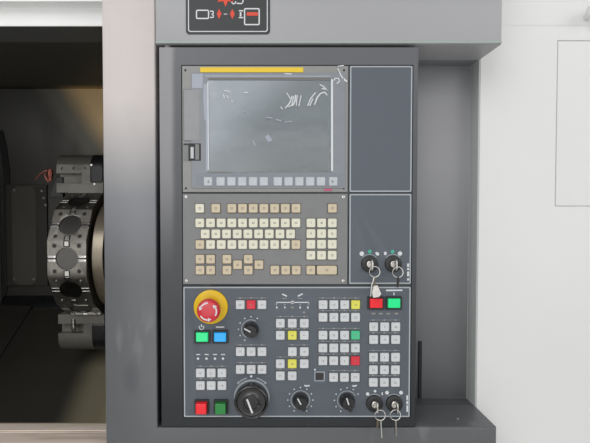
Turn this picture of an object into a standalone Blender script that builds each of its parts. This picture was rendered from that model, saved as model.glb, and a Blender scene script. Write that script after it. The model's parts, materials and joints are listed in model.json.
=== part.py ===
"""A slant-bed turning lathe with a twelve-station turret and a swivelling operator panel, in metres."""
import math

import bmesh
import bpy
from mathutils import Matrix, Vector

# Clearances and overruns
gap = 0.0003            # between faces that rest on each other
over = 0.006            # how far a cutter runs past the face that it opens
root = 0.0015           # how far a fused detail reaches into its carrier
running = 0.002         # between sheet-metal edges that slide past each other
sheet = 0.003           # thickness of the covers

# The machine from left to right
left_cover_width = 0.925
opening_width = 0.950
column_width = 0.0925
panel_width = 0.452
panel_left_gap = 0.0075
niche_spare_width = 0.146
right_cover_width = 0.627

# The machine from the floor up
cover_lift = 0.060
sill_height = 0.929
ledge_rise = 0.036
ledge_height = 0.120
panel_height = 0.669
panel_bottom_gap = 0.0023
panel_top_gap = 0.0063
header_height = 0.240
opening_height = 0.7786
upper_cover_height = 0.2124

# The machine from front to back
machine_depth = 1.840
stop_reach = 0.042
cover_setback = 0.093
niche_depth = 0.133
cabinet_depth = 0.340

# Spindle line and slant of the bed
slant = math.radians(30)
spindle_setback = 0.360
spindle_height = 1.010
bed_drop = 0.420
turret_offset = 0.404

# Bed casting
bed_end_inset = 0.150
bed_low_reach = 0.170
bed_high_reach = 0.580
foot_height = 0.050
foot_radius = 0.045
foot_count = 4
foot_inset = 0.110
bed_window_width = 0.280
bed_window_height = 0.200
bed_window_count = 4
bed_window_rise = 0.130
rail_width = 0.045
rail_height = 0.035
low_rail_place = -0.060
high_rail_place = 0.470
rail_left_inset = 0.120

# Headstock and spindle
headstock_length = 0.580
headstock_end_inset = 0.180
headstock_shoulder = 0.205
headstock_low_reach = 0.165
headstock_high_reach = 0.330
bearing_bore = 0.066
bearing_outside = 0.100
bearing_width = 0.055
spindle_sides = 24
spindle_bore = 0.033
nose_radius = 0.105
nose_length = 0.036
spindle_pulley_radius = 0.130
pulley_width = 0.056
pulley_gap = 0.020
spindle_tail = 0.052
cylinder_radius = 0.090
chuck_radius = 0.127
chuck_length = 0.095
chuck_bore = 0.036
jaw_slot_width = 0.032
jaw_slot_depth = 0.022
jaw_width = 0.044
jaw_inner = 0.045
jaw_step = 0.072
jaw_outer = 0.119
jaw_low = 0.028
jaw_high = 0.060
jaw_count = 3

# Spindle motor and belt
motor_size = 0.280
motor_length = 0.420
motor_inset = 0.030
motor_shaft_radius = 0.024
motor_pulley_radius = 0.090
belt_thickness = 0.007
belt_width = 0.048
belt_steps = 14

# Z screw
screw_radius = 0.020
journal_radius = 0.012
screw_place = 0.205
screw_rise = 0.035
screw_block_length = 0.050
screw_block_width = 0.090
screw_block_rise = 0.022
screw_right_inset = 0.090

# Saddle, cross slide and turret
turret_from_camera_side = 0.2315    # turret disc's right face, left of the column
disc_width = 0.111
disc_flat = 0.1907
station_count = 12
station_bore = 0.0325
station_bore_depth = 0.004
station_bolt_x = 0.035
station_bolt_t = 0.0365
station_bolt_radius = 0.006
station_bolt_depth = 0.010
key_slot_width = 0.012
key_slot_depth = 0.003
disc_face_groove = 0.120
disc_face_depth = 0.004
disc_shaft_radius = 0.050
disc_shaft_length = 0.100
shaft_sides = 24
disc_gap = 0.008
flange_radius = 0.170
flange_width = 0.032
housing_width = 0.300
housing_length = 0.317
housing_cap_radius = 0.090
housing_cap_length = 0.055
saddle_clearance = 0.010
saddle_thickness = 0.090
saddle_length = 0.400
saddle_gap = 0.0215
saddle_low = -0.140
saddle_high = 0.598
x_rail_width = 0.040
x_rail_height = 0.025
x_rail_inset = 0.035
cross_slide_thickness = 0.080
cross_slide_half = 0.190
cross_slide_inset = 0.010
z_travel = 0.420
apron_lap = 0.0345
apron_drop = 0.063

# Boring-bar holders
holder_base_height = 0.030
holder_base_width = 0.094
holder_body_length = 0.147
holder_body_radius = 0.046
holder_body_rise = 0.078
holder_bar_bore = 0.0165
holder_screw_radius = 0.0042
holder_screw_depth = 0.006
holder_screw_count = 4
holder_relief_length = 0.080
holder_relief_drop = 0.016
holder_web_half = 0.018

# Tailstock
tailstock_right_inset = 0.350
tailstock_length = 0.300
tailstock_low = -0.140
tailstock_high = 0.560
tailstock_base = 0.080
tailstock_barrel = 0.085
tailstock_foot = 0.170
quill_radius = 0.040
quill_reach = 0.110
quill_seat = 0.200
centre_length = 0.060
centre_radius = 0.028

# Chamber, way cover and tank
chamber_clearance = 0.026
chamber_left_gap = 0.010
chamber_roof_drop = 0.094
chamber_lift = 0.075
spindle_hole = 0.118
guard_width = 0.158
guard_height = 0.396
guard_thickness = 0.012
guard_left = 0.207
guard_rise = 0.122
way_cover_rise = 0.068
way_cover_low = -0.150
way_cover_high = 0.545
tank_depth = 0.300
tank_height = 0.380
tank_end_inset = 0.300

# Covers
lower_front_step = 0.020
channel_far = 0.073
channel_near = 0.033
channel_depth = 0.003
door_rail_height = 0.042
door_rail_depth = 0.028
door_rail_rise = 0.0352
cover_flange = 0.089
edge_round = 0.004
hatch_left = 0.153
hatch_width = 0.360
hatch_bottom = 0.4318
hatch_height = 0.318
hatch_frame = 0.015
ball_radius = 0.0155
ball_neck = 0.007
ball_neck_length = 0.012
ball_left = 0.207
ball_height = 0.796
seam_width = 0.002
seam_depth = 0.001

# Door
door_lap = 0.020
door_travel = 0.900
door_top_rise = 0.1012
window_width = 0.520
window_height = 0.400
window_bottom = 0.270
window_side = 0.200
window_rebate = 0.015
glass_thickness = 0.010
door_handle_length = 0.260
door_handle_bar = 0.010
door_handle_reach = 0.052
door_handle_inset = 0.070
door_handle_bottom = 0.290

# Electrical cabinet
cabinet_left_inset = 1.550
cabinet_right_inset = 0.350
cabinet_bottom = 0.250
cabinet_top_drop = 0.120
cabinet_door_thickness = 0.022
cabinet_wall = 0.006
cabinet_handle_reach = 0.020
cabinet_handle_width = 0.032
cabinet_handle_length = 0.180
cabinet_handle_inset = 0.045
cabinet_hinge_radius = 0.008
cabinet_hinge_length = 0.070
cabinet_hinge_inset = 0.140

# Operator panel
panel_depth = 0.105
panel_pivot_inset = 0.012
pivot_pin_radius = 0.006
pivot_pin_reach = 0.014
plate_thickness = 0.004
plate_left = 0.0397
plate_row_gap = 0.0045
plate_column_gap = 0.003
unit_width = 0.290
display_height = 0.2201
keyboard_height = 0.1594
right_plate_width = 0.1095
operator_height = 0.2336
plate_foot = 0.0165
bezel_round = 0.003
screen_recess = 0.0025
key_rise = 0.0026
key_size = 0.0150
key_pitch = 0.01877

# Places on the display unit, as shares of its width and height
screen_shares = (0.155, 0.150, 0.745, 0.755)
soft_key_shares = ((0.131, 1), (0.207, 5), (0.552, 5), (0.887, 1))
soft_key_row_share = 0.070
soft_key_pitch_share = 0.0652
soft_key_width_share = 0.049
soft_key_height_share = 0.067
card_cover_shares = (0.010, 0.407, 0.096, 0.405)
card_cover_thickness = 0.004

# Keyboard keys: column, row, keys across and keys down, as shares of the key pitch
keyboard_left_share = 0.0785
keyboard_top_share = 0.113
keyboard_blocks_shares = (
    (0, 0, 1, 1), (1.5, 0, 1, 1), (3, 0, 7, 1), (12.4, 0, 1, 1), (0, 1.37, 10, 1),
    (0.5, 2.4, 9, 1), (0, 3.4, 10, 1), (10.4, 1.37, 3, 3), (10.4, 4.4, 3, 1), (0, 4.77, 2, 1),
    (0, 5.8, 2, 1), (2.53, 4.77, 1, 1), (2.53, 5.8, 1, 1), (3.53, 5.3, 1, 1), (4.53, 4.77, 1, 1),
    (4.53, 5.8, 1, 1), (5.53, 5.3, 1, 1), (7.03, 5.8, 3, 1), (10.4, 5.8, 1, 1))
wide_key_shares = (11.4, 5.8, 1.81)

# Operator keys: left, top, keys across, keys down, and both pitches, as shares of the plate
operator_blocks_shares = (
    (0.232, 0.104, 3, 1, 0.0478, 0.098), (0.232, 0.462, 3, 1, 0.0478, 0.098),
    (0.232, 0.598, 3, 1, 0.0478, 0.098), (0.056, 0.625, 3, 2, 0.0476, 0.0965),
    (0.408, 0.245, 3, 2, 0.0526, 0.0920), (0.461, 0.462, 2, 1, 0.0526, 0.0920),
    (0.408, 0.5545, 3, 1, 0.0526, 0.0920), (0.408, 0.647, 2, 1, 0.0526, 0.0920),
    (0.5955, 0.104, 4, 2, 0.0476, 0.0958), (0.5955, 0.336, 4, 3, 0.0476, 0.0977),
    (0.643, 0.6585, 3, 1, 0.0476, 0.0977), (0.818, 0.272, 3, 2, 0.0485, 0.0973),
    (0.818, 0.5045, 3, 3, 0.0485, 0.0962))
operator_key_size = 0.0150

# Round controls on the operator plate: centre from the left and the top, as shares of the plate
stop_centre_shares = (0.122, 0.152)
stop_ring_radius = 0.0295
stop_ring_rise = 0.004
stop_stem_radius = 0.010
stop_head_radius = 0.0198
stop_head_neck = 0.013
stop_head_height = 0.022
wheel_centre_shares = (0.301, 0.845)
wheel_radius = 0.030
wheel_rise = 0.026
wheel_hub_radius = 0.012
knob_centres_shares = (("feed_knob", 0.298, 0.325), ("speed_knob", 0.516, 0.868),
                       ("rapid_knob", 0.722, 0.870))
knob_radius = 0.0135
knob_rise = 0.019
knob_skirt = 0.0035
knob_grip_width = 0.007
shaft_radius = 0.003
key_switch_radius = 0.0142
key_switch_rise = 0.004
key_places_shares = (("panel_key_3", 0.843, 0.893), ("panel_key_4", 0.930, 0.893))
upper_key_places_shares = (("panel_key_1", 0.330, 0.775), ("panel_key_2", 0.710, 0.775))
key_barrel_radius = 0.0065
key_barrel_rise = 0.004
key_bow_width = 0.016
key_bow_length = 0.020
key_blade = 0.0022
# Push-buttons: name, left, top, width and height as shares of the plate, and how they stand proud
push_button_shares = (
    ("green_button", 0.0576, 0.345, 0.0524, 0.069, 0.5), ("blue_button", 0.1367, 0.345, 0.0524, 0.069, 0.5),
    ("stop_button", 0.0576, 0.876, 0.046, 0.078, 1.0), ("start_button", 0.1420, 0.876, 0.046, 0.078, 1.0),
    ("reset_button", 0.8183, 0.088, 0.0546, 0.069, 0.5), ("ready_button", 0.8975, 0.088, 0.0528, 0.069, 0.5))
button_rise = 0.014
button_bezel = 0.003
button_bezel_rise = 0.003
button_travel = 0.0015
button_seat = 0.0028

# Planes and lines that follow from the sizes above
niche_width = panel_left_gap + panel_width + niche_spare_width
machine_length = left_cover_width + opening_width + column_width + niche_width + right_cover_width
x_left = -machine_length / 2
x_open = x_left + left_cover_width
x_column = x_open + opening_width
x_niche = x_column + column_width
x_niche_end = x_niche + niche_width
x_right = x_niche_end + right_cover_width
front_y = stop_reach - machine_depth / 2
cover_y = front_y + cover_setback
niche_y = front_y + niche_depth
back_y = machine_depth / 2
rear_y = back_y - cabinet_depth
cabinet_face = back_y - cabinet_handle_reach
ledge_top = sill_height + ledge_rise
ledge_bottom = ledge_top - ledge_height
panel_bottom = ledge_top + panel_bottom_gap
panel_top = panel_bottom + panel_height
header_bottom = panel_top + panel_top_gap
header_top = header_bottom + header_height
upper_z = sill_height + opening_height
top_z = upper_z + upper_cover_height
spindle_y = front_y + spindle_setback
slant_frame = Matrix.Translation((0, spindle_y, spindle_height)) @ Matrix.Rotation(slant, 4, "X")


def on_slant(along, up):
    """The Y and Z of a point given along the slant and square to it, from the spindle line."""
    point = slant_frame @ Vector((0, along, up))
    return point.y, point.z


turret_y, turret_z = on_slant(turret_offset, 0)
disc_right = x_column - turret_from_camera_side
disc_left = disc_right - disc_width
holder_swing = math.hypot(disc_flat + holder_body_rise + holder_body_radius, holder_body_radius)
chamber_back = turret_y + holder_swing + chamber_clearance
headstock_left = x_left + headstock_end_inset
headstock_right = headstock_left + headstock_length
nose_end = headstock_right + nose_length
chamber_left = headstock_right + chamber_left_gap
chamber_right = x_niche_end + hatch_left + hatch_width + hatch_frame + sheet + running
chamber_roof = top_z - chamber_roof_drop
bed_left = x_left + bed_end_inset
bed_right = x_right - bed_end_inset
bed_top = on_slant(bed_high_reach, -bed_drop)[1]
bed_front = on_slant(-bed_low_reach, -bed_drop)[0]
bed_back = rear_y - sheet - gap
screw_up = screw_rise - bed_drop
saddle_left = disc_right + saddle_gap
saddle_right = saddle_left + saddle_length
saddle_bottom = saddle_clearance - bed_drop
saddle_top = saddle_bottom + saddle_thickness
x_rail_top = saddle_top + x_rail_height
slide_top = saddle_top + running + cross_slide_thickness
housing_left = disc_right + disc_gap
panel_left = x_niche + panel_left_gap
plate_x = panel_left + plate_left
plate_back = front_y + plate_thickness
panel_face = plate_back + gap
operator_bottom = panel_bottom + plate_foot
operator_width = unit_width + plate_column_gap + right_plate_width
keyboard_bottom = operator_bottom + operator_height + plate_row_gap
display_bottom = keyboard_bottom + keyboard_height + plate_column_gap
right_plate_x = plate_x + unit_width + plate_column_gap
plates_top = display_bottom + display_height


# Solids

def block(low, high):
    """A box from its two corners."""
    form = bmesh.new()
    bmesh.ops.create_cube(form, size=1)
    size = [b - a for a, b in zip(low, high)]
    middle = [(a + b) / 2 for a, b in zip(low, high)]
    bmesh.ops.scale(form, vec=size, verts=form.verts)
    bmesh.ops.translate(form, vec=middle, verts=form.verts)
    return form


def prism(outline, low, high, axis=0):
    """An outline of pairs, in the order of the two other axes, extruded along an axis."""
    form = bmesh.new()
    corners = []
    for pair in outline:
        place = list(pair)
        place.insert(axis, low)
        corners.append(form.verts.new(place))
    face = form.faces.new(corners)
    pulled = bmesh.ops.extrude_face_region(form, geom=[face])["geom"]
    shift = [0, 0, 0]
    shift[axis] = high - low
    bmesh.ops.translate(form, vec=shift, verts=[v for v in pulled if isinstance(v, bmesh.types.BMVert)])
    bmesh.ops.recalc_face_normals(form, faces=form.faces)
    return form


def turned(profile, sides, ring=False):
    """A profile of pairs, along the X axis and out from it, spun round; a ring's profile is a loop."""
    form = bmesh.new()
    points = [form.verts.new((along, out, 0)) for along, out in profile]
    pairs = list(zip(points, points[1:]))
    if ring:
        pairs.append((points[-1], points[0]))
    edges = [form.edges.new(pair) for pair in pairs]
    bmesh.ops.spin(form, geom=points + edges, cent=(0, 0, 0), axis=(1, 0, 0), angle=math.tau,
                   steps=sides, use_merge=True)
    bmesh.ops.remove_doubles(form, verts=form.verts, dist=gap / 100)
    bmesh.ops.recalc_face_normals(form, faces=form.faces)
    return form


def rod(radius, low, high, sides=24):
    """A plain round bar on the X axis."""
    return turned([(low, 0), (low, radius), (high, radius), (high, 0)], sides)


def tube(inner, outer, low, high, sides=24):
    """A plain round tube on the X axis."""
    return turned([(low, inner), (low, outer), (high, outer), (high, inner)], sides, ring=True)


def moved(form, matrix):
    """A form carried by a matrix."""
    bmesh.ops.transform(form, matrix=matrix, verts=form.verts)
    return form


def at(form, x, y, z):
    """A form carried to a place."""
    return moved(form, Matrix.Translation((x, y, z)))


def facing(form, x, y, z):
    """A form whose X axis is turned to point to the front, and carried to a place."""
    return moved(form, Matrix.Translation((x, y, z)) @ Matrix.Rotation(-math.pi / 2, 4, "Z"))


def together(forms):
    """Several forms in one, with no union; only cutters and sets of details that stay clear use it."""
    whole = bmesh.new()
    for form in forms:
        mesh = bpy.data.meshes.new("set")
        form.to_mesh(mesh)
        form.free()
        whole.from_mesh(mesh)
        bpy.data.meshes.remove(mesh)
    return whole


def loose(form, name):
    """A form as a scene object, for a Boolean."""
    mesh = bpy.data.meshes.new(name)
    form.to_mesh(mesh)
    form.free()
    thing = bpy.data.objects.new(name, mesh)
    bpy.context.scene.collection.objects.link(thing)
    return thing


def boolean(first, second, operation):
    """An exact Boolean of two forms."""
    body = loose(first, "body")
    tool = loose(second, "tool")
    step = body.modifiers.new("step", "BOOLEAN")
    step.operation = operation
    step.solver = "EXACT"
    step.object = tool
    graph = bpy.context.evaluated_depsgraph_get()
    result = bmesh.new()
    result.from_object(body, graph)
    for thing in (body, tool):
        mesh = thing.data
        bpy.data.objects.remove(thing)
        bpy.data.meshes.remove(mesh)
    return result


def cut(form, *tools):
    """A form less its cutters."""
    return boolean(form, together(tools), "DIFFERENCE")


def fuse(form, *details):
    """A form with its details, which stay clear of each other."""
    return boolean(form, together(details), "UNION")


def shift_edges(outline, amounts):
    """An outline whose edges move inwards by their own amounts, or outwards where it is negative."""
    area = sum(a[0] * b[1] - b[0] * a[1] for a, b in zip(outline, outline[1:] + outline[:1]))
    side = 1 if area > 0 else -1
    lines = []
    for (a, b), amount in zip(zip(outline, outline[1:] + outline[:1]), amounts):
        run = Vector(b) - Vector(a)
        normal = Vector((-run.y, run.x)).normalized() * side
        lines.append((Vector(a) + normal * amount, run))
    points = []
    for (p, d), (q, e) in zip(lines[-1:] + lines[:-1], lines):
        t = (q - p).cross(e) / d.cross(e)
        points.append(tuple(p + d * t))
    return points


def arc(centre, radius, start, end, steps):
    """Points of an arc, with its angles in degrees."""
    turns = [math.radians(start + (end - start) * i / steps) for i in range(steps + 1)]
    return [(centre[0] + radius * math.cos(a), centre[1] + radius * math.sin(a)) for a in turns]


def node(name, form, colour, roughness, metallic, hinge=(0, 0, 0)):
    """A named piece with its own material and its origin on its joint's axis."""
    mesh = bpy.data.meshes.new(name)
    bmesh.ops.translate(form, vec=-Vector(hinge), verts=form.verts)
    form.to_mesh(mesh)
    form.free()
    mesh.shade_smooth()
    mesh.set_sharp_from_angle(angle=slant)
    thing = bpy.data.objects.new(name, mesh)
    thing.location = hinge
    bpy.context.scene.collection.objects.link(thing)
    material = bpy.data.materials.new(name)
    material.use_nodes = True
    shader = material.node_tree.nodes["Principled BSDF"]
    shader.inputs["Base Color"].default_value = (*colour, 1)
    shader.inputs["Roughness"].default_value = roughness
    shader.inputs["Metallic"].default_value = metallic
    mesh.materials.append(material)
    return thing


# Colours
pale_paint = (0.72, 0.73, 0.73)
dark_paint = (0.16, 0.165, 0.175)
panel_paint = (0.085, 0.09, 0.10)
slate = (0.075, 0.090, 0.110)
plate_grey = (0.22, 0.23, 0.24)
black = (0.012, 0.012, 0.013)
steel = (0.42, 0.42, 0.42)
dark_steel = (0.05, 0.05, 0.052)
cast_paint = (0.30, 0.32, 0.33)
glass_tint = (0.30, 0.36, 0.36)
red = (0.72, 0.02, 0.04)
green = (0.03, 0.62, 0.27)
dark_green = (0.02, 0.27, 0.07)
blue = (0.0, 0.33, 0.83)


# Bed, headstock and spindle

def make_bed():
    outline = [(bed_front, foot_height), (bed_front, on_slant(-bed_low_reach, -bed_drop)[1]),
               on_slant(bed_high_reach, -bed_drop), (bed_back, bed_top), (bed_back, foot_height)]
    casting = prism(outline, bed_left, bed_right)
    pitch = (bed_right - bed_left) / bed_window_count
    low = foot_height + bed_window_rise
    windows = []
    for i in range(bed_window_count):
        middle = bed_left + pitch * (i + 1 / 2)
        half = bed_window_width / 2
        shape = [(middle - half, low), (middle + half, low)]
        shape += arc((middle, low + bed_window_height - half), half, 0, 180, 10)
        windows.append(prism(shape, bed_front - over, bed_back + over, axis=1))
    casting = cut(casting, *windows)
    details = []
    for i in range(foot_count):
        x = bed_left + foot_inset + (bed_right - bed_left - 2 * foot_inset) * i / (foot_count - 1)
        for y in (bed_front + foot_inset, bed_back - foot_inset):
            foot = turned([(0, 0), (0, foot_radius), (foot_height / 3, foot_radius),
                           (foot_height / 2, foot_radius / 2), (foot_height + root, foot_radius / 2),
                           (foot_height + root, 0)], 8)
            details.append(moved(foot, Matrix.Translation((x, y, 0)) @ Matrix.Rotation(-math.pi / 2, 4, "Y")))
    low_x = headstock_right + rail_left_inset
    for place in (low_rail_place, high_rail_place):
        rail = block((low_x, place - rail_width / 2, -bed_drop - root),
                     (bed_right - screw_right_inset, place + rail_width / 2, rail_height - bed_drop))
        details.append(moved(rail, slant_frame))
    for low_end in (headstock_right + rail_left_inset / 3, bed_right - screw_block_length):
        bearing = block((low_end, screw_place - screw_block_width / 2, -bed_drop - root),
                        (low_end + screw_block_length, screw_place + screw_block_width / 2,
                         screw_up + screw_block_rise))
        details.append(moved(bearing, slant_frame))
    casting = fuse(casting, *details)
    hole = at(rod(journal_radius + gap, headstock_right, bed_right + over, 16), 0, screw_place, screw_up)
    casting = cut(casting, moved(hole, slant_frame))
    node("bed_casting", casting, cast_paint, 0.55, 0.0)


def make_z_screw():
    low = headstock_right + rail_left_inset / 3 + gap
    left_shoulder = low + screw_block_length
    right_shoulder = bed_right - screw_block_length - gap
    screw = turned([(low, 0), (low, journal_radius), (left_shoulder, journal_radius),
                    (left_shoulder, screw_radius), (right_shoulder, screw_radius),
                    (right_shoulder, journal_radius), (bed_right - gap, journal_radius),
                    (bed_right - gap, 0)], 16)
    y, z = on_slant(screw_place, screw_up)
    node("z_screw", at(screw, 0, y, z), steel, 0.25, 1.0, hinge=(low, y, z))


def make_headstock():
    low = gap - bed_drop
    side = headstock_shoulder
    outline = [(-headstock_low_reach, low), (headstock_high_reach, low),
               (headstock_high_reach, low + side / 2)]
    outline += arc((0, 0), side, 12, 192, 16)
    outline += [(-headstock_low_reach, low + side / 2)]
    housing = moved(prism(outline, headstock_left, headstock_right), slant_frame)
    bore = (bearing_bore + bearing_outside) / 2
    through = rod(bore, headstock_left - over, headstock_right + over, spindle_sides)
    seats = [rod(bearing_outside + gap, headstock_left - over, headstock_left + bearing_width, spindle_sides),
             rod(bearing_outside + gap, headstock_right - bearing_width, headstock_right + over,
                 spindle_sides)]
    housing = cut(housing, at(through, 0, spindle_y, spindle_height))
    housing = cut(housing, *[at(seat, 0, spindle_y, spindle_height) for seat in seats])
    node("headstock_casting", housing, cast_paint, 0.5, 0.0)
    for name, low_x in (("rear_bearing", headstock_left),
                        ("front_bearing", headstock_right - bearing_width + gap)):
        inner = bearing_bore / math.cos(math.pi / spindle_sides)
        ring = tube(inner, bearing_outside, low_x, low_x + bearing_width - gap, spindle_sides)
        node(name, at(ring, 0, spindle_y, spindle_height), steel, 0.3, 1.0)


pulley_right = headstock_left - pulley_gap
pulley_left = pulley_right - pulley_width
tail_end = pulley_left - spindle_tail


def make_spindle():
    body = bearing_bore - gap
    shape = turned([
        (tail_end, spindle_bore), (tail_end, body * 3 / 4), (pulley_left, body * 3 / 4),
        (pulley_left, spindle_pulley_radius), (pulley_right, spindle_pulley_radius), (pulley_right, body),
        (headstock_right + gap, body), (headstock_right + gap, nose_radius), (nose_end, nose_radius),
        (nose_end, spindle_bore)], spindle_sides, ring=True)
    node("spindle", at(shape, 0, spindle_y, spindle_height), steel, 0.3, 1.0,
         hinge=(nose_end, spindle_y, spindle_height))
    low = (tail_end, body * 3 / 4 + gap)
    high = pulley_left - gap
    step = (high - tail_end) / 4
    cylinder = turned([low, (tail_end, cylinder_radius * 3 / 4), (tail_end + step, cylinder_radius * 3 / 4),
                       (tail_end + step, cylinder_radius), (high, cylinder_radius), (high, low[1])],
                      spindle_sides, ring=True)
    node("chuck_cylinder", at(cylinder, 0, spindle_y, spindle_height), cast_paint, 0.4, 0.5,
         hinge=(tail_end, spindle_y, spindle_height))


def make_chuck():
    back = nose_end + gap
    face = back + chuck_length
    edge = jaw_slot_depth / 4
    body = turned([(back, chuck_bore), (back, chuck_radius), (face - edge, chuck_radius),
                   (face, chuck_radius - edge), (face, chuck_bore)], spindle_sides, ring=True)
    slots = []
    for i in range(jaw_count):
        slot = block((face - jaw_slot_depth, -jaw_slot_width / 2, chuck_bore * 3 / 4),
                     (face + over, jaw_slot_width / 2, chuck_radius + over))
        slots.append(moved(slot, Matrix.Rotation(math.tau * i / jaw_count, 4, "X")))
    body = cut(body, *slots)
    node("chuck_body", at(body, 0, spindle_y, spindle_height), steel, 0.25, 1.0,
         hinge=(nose_end, spindle_y, spindle_height))
    bottom = face - jaw_slot_depth + gap
    lip = face + gap
    half = jaw_slot_width / 2 - gap
    for i in range(jaw_count):
        base = block((bottom, -half, jaw_inner), (lip + root, half, jaw_outer))
        low = block((lip, -jaw_width / 2, jaw_inner), (lip + jaw_low, jaw_width / 2, jaw_outer))
        high = block((lip + root, -jaw_width / 2 + root, jaw_step),
                     (lip + jaw_high, jaw_width / 2 - root, jaw_outer - root))
        jaw = fuse(fuse(base, low), high)
        turn = Matrix.Rotation(math.tau * i / jaw_count, 4, "X")
        jaw = at(moved(jaw, turn), 0, spindle_y, spindle_height)
        node(f"chuck_jaw_{i + 1}", jaw, steel, 0.3, 1.0, hinge=(face, spindle_y, spindle_height))


motor_left = headstock_left + motor_inset
motor_y = bed_back - motor_size / 2
motor_z = bed_top + gap + motor_size / 2


def make_motor():
    corner = motor_size / 8
    half = motor_size / 2
    corners = ((-half, -half), (half, -half), (half, half), (-half, half))
    square = [(motor_y + y, motor_z + z) for y, z in corners]
    outline = []
    for before, point, after in zip(square[-1:] + square[:-1], square, square[1:] + square[:1]):
        for other in (before, after):
            run = (Vector(other) - Vector(point)).normalized() * corner
            outline.append(tuple(Vector(point) + run))
    body = prism(outline, motor_left, motor_left + motor_length)
    hole = rod(motor_shaft_radius + gap, motor_left - over, motor_left + motor_length / 4, 24)
    body = cut(body, at(hole, 0, motor_y, motor_z))
    node("spindle_motor", body, dark_paint, 0.5, 0.0)
    shaft_end = motor_left + motor_length / 4 - gap
    shaft = turned([(pulley_left, 0), (pulley_left, motor_pulley_radius), (pulley_right, motor_pulley_radius),
                    (pulley_right, motor_shaft_radius), (shaft_end, motor_shaft_radius), (shaft_end, 0)], 24)
    node("motor_pulley", at(shaft, 0, motor_y, motor_z), steel, 0.35, 1.0,
         hinge=(pulley_left, motor_y, motor_z))


def make_belt():
    """The belt hugs both pulleys; its straight runs leave them along the two outer tangents."""
    a = Vector((spindle_y, spindle_height))
    b = Vector((motor_y, motor_z))
    run = b - a
    heading = math.degrees(math.atan2(run.y, run.x))

    def loop(extra):
        lean = math.degrees(math.acos((spindle_pulley_radius - motor_pulley_radius) / run.length))
        points = []
        for centre, radius, start, sweep in ((a, spindle_pulley_radius, lean, 360 - 2 * lean),
                                             (b, motor_pulley_radius, -lean, 2 * lean)):
            flat = math.cos(math.radians(sweep / belt_steps / 2))
            points += arc(centre, (radius + extra) / flat, heading + start, heading + start + sweep,
                          belt_steps)
        return points

    mid = (pulley_left + pulley_right) / 2
    inner = loop(gap)
    outer = loop(gap + belt_thickness)
    belt = cut(prism(outer, mid - belt_width / 2, mid + belt_width / 2),
               prism(inner, mid - belt_width, mid + belt_width))
    node("drive_belt", belt, black, 0.8, 0.0)


# Saddle, cross slide and turret

def way_grooves(low, high):
    """Cutters for the grooves that ride on the two ways and clear the screw."""
    tools = []
    for place in (low_rail_place, high_rail_place):
        half = rail_width / 2 + gap
        tools.append(block((low, place - half, -bed_drop - over),
                           (high, place + half, rail_height - bed_drop + gap)))
    half = screw_radius + running
    tools.append(block((low, screw_place - half, -bed_drop - over),
                       (high, screw_place + half, screw_up + half)))
    return tools


def make_saddle():
    body = block((saddle_left, saddle_low, saddle_bottom), (saddle_right, saddle_high, saddle_top))
    rails = []
    for low in (saddle_left + x_rail_inset, saddle_right - x_rail_inset - x_rail_width):
        rails.append(block((low, saddle_low, saddle_top - root),
                           (low + x_rail_width, saddle_high, x_rail_top)))
    plate_top = apron_drop - bed_drop
    plate_left = saddle_left - z_travel - running - apron_lap
    plate = block((plate_left, way_cover_low + 4 * sheet, plate_top - sheet),
                  (saddle_left + root, way_cover_high - 4 * sheet, plate_top))
    body = fuse(body, *rails, plate)
    body = cut(body, *way_grooves(saddle_left - over, saddle_right + over))
    node("saddle", moved(body, slant_frame), cast_paint, 0.45, 0.0,
         hinge=(saddle_left, *on_slant(screw_place, screw_up)))


def make_cross_slide():
    low_x = saddle_left + cross_slide_inset
    high_x = saddle_right - cross_slide_inset
    low = turret_offset - cross_slide_half
    high = turret_offset + cross_slide_half
    body = block((low_x, low, saddle_top + running), (high_x, high, slide_top))
    tools = []
    for left in (saddle_left + x_rail_inset, saddle_right - x_rail_inset - x_rail_width):
        tools.append(block((left - gap, low - over, saddle_top), (left + x_rail_width + gap, high + over,
                                                                  x_rail_top + gap)))
    body = cut(body, *tools)
    node("cross_slide", moved(body, slant_frame), cast_paint, 0.45, 0.0,
         hinge=(saddle_left, *on_slant(turret_offset, saddle_top)))


def make_turret_housing():
    half = housing_width / 2
    bottom = slide_top + gap
    left = housing_left + flange_width
    outline = [(turret_offset - half, bottom), (turret_offset + half, bottom)]
    outline += arc((turret_offset, 0), half, 0, 180, 16)
    body = prism(outline, left - root, left + housing_length)
    flange = at(rod(flange_radius, housing_left, left, 40), 0, turret_offset, 0)
    cap = at(rod(housing_cap_radius, left + housing_length - root,
                 left + housing_length + housing_cap_length, 24), 0, turret_offset, 0)
    body = fuse(body, flange, cap)
    round_bore = (disc_shaft_radius + gap) / math.cos(math.pi / shaft_sides)
    bore = rod(round_bore, housing_left - over, disc_right + disc_shaft_length + gap, shaft_sides)
    body = cut(body, at(bore, 0, turret_offset, 0))
    node("turret_housing", moved(body, slant_frame), dark_steel, 0.4, 0.3)


def station_tools():
    """Cutters for one station, with its face at the disc's flat towards +Z."""
    top = disc_flat + over
    upright = Matrix.Rotation(math.pi / 2, 4, "Y")

    def drill(radius, depth, x, y, sides):
        hole = moved(rod(radius, -top, depth - disc_flat, sides), upright)
        return at(hole, x, y, 0)

    tools = [drill(station_bore, station_bore_depth, 0, 0, 16)]
    for x in (-station_bolt_x, station_bolt_x):
        for y in (-station_bolt_t, station_bolt_t):
            tools.append(drill(station_bolt_radius, station_bolt_depth, x, y, 6))
    half = key_slot_width / 2
    edge = disc_width / 2 + over
    for low, high in ((station_bore + root, edge), (-edge, -station_bore - root)):
        tools.append(block((low, -half, disc_flat - key_slot_depth), (high, half, top)))
    reach = disc_flat * math.tan(math.pi / station_count) - station_bore - root
    across = block((-half, -reach, disc_flat - key_slot_depth / 4), (half, reach, top + over))
    tools.append(moved(across, Matrix.Rotation(math.pi / station_count, 4, "X")))
    return tools


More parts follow.
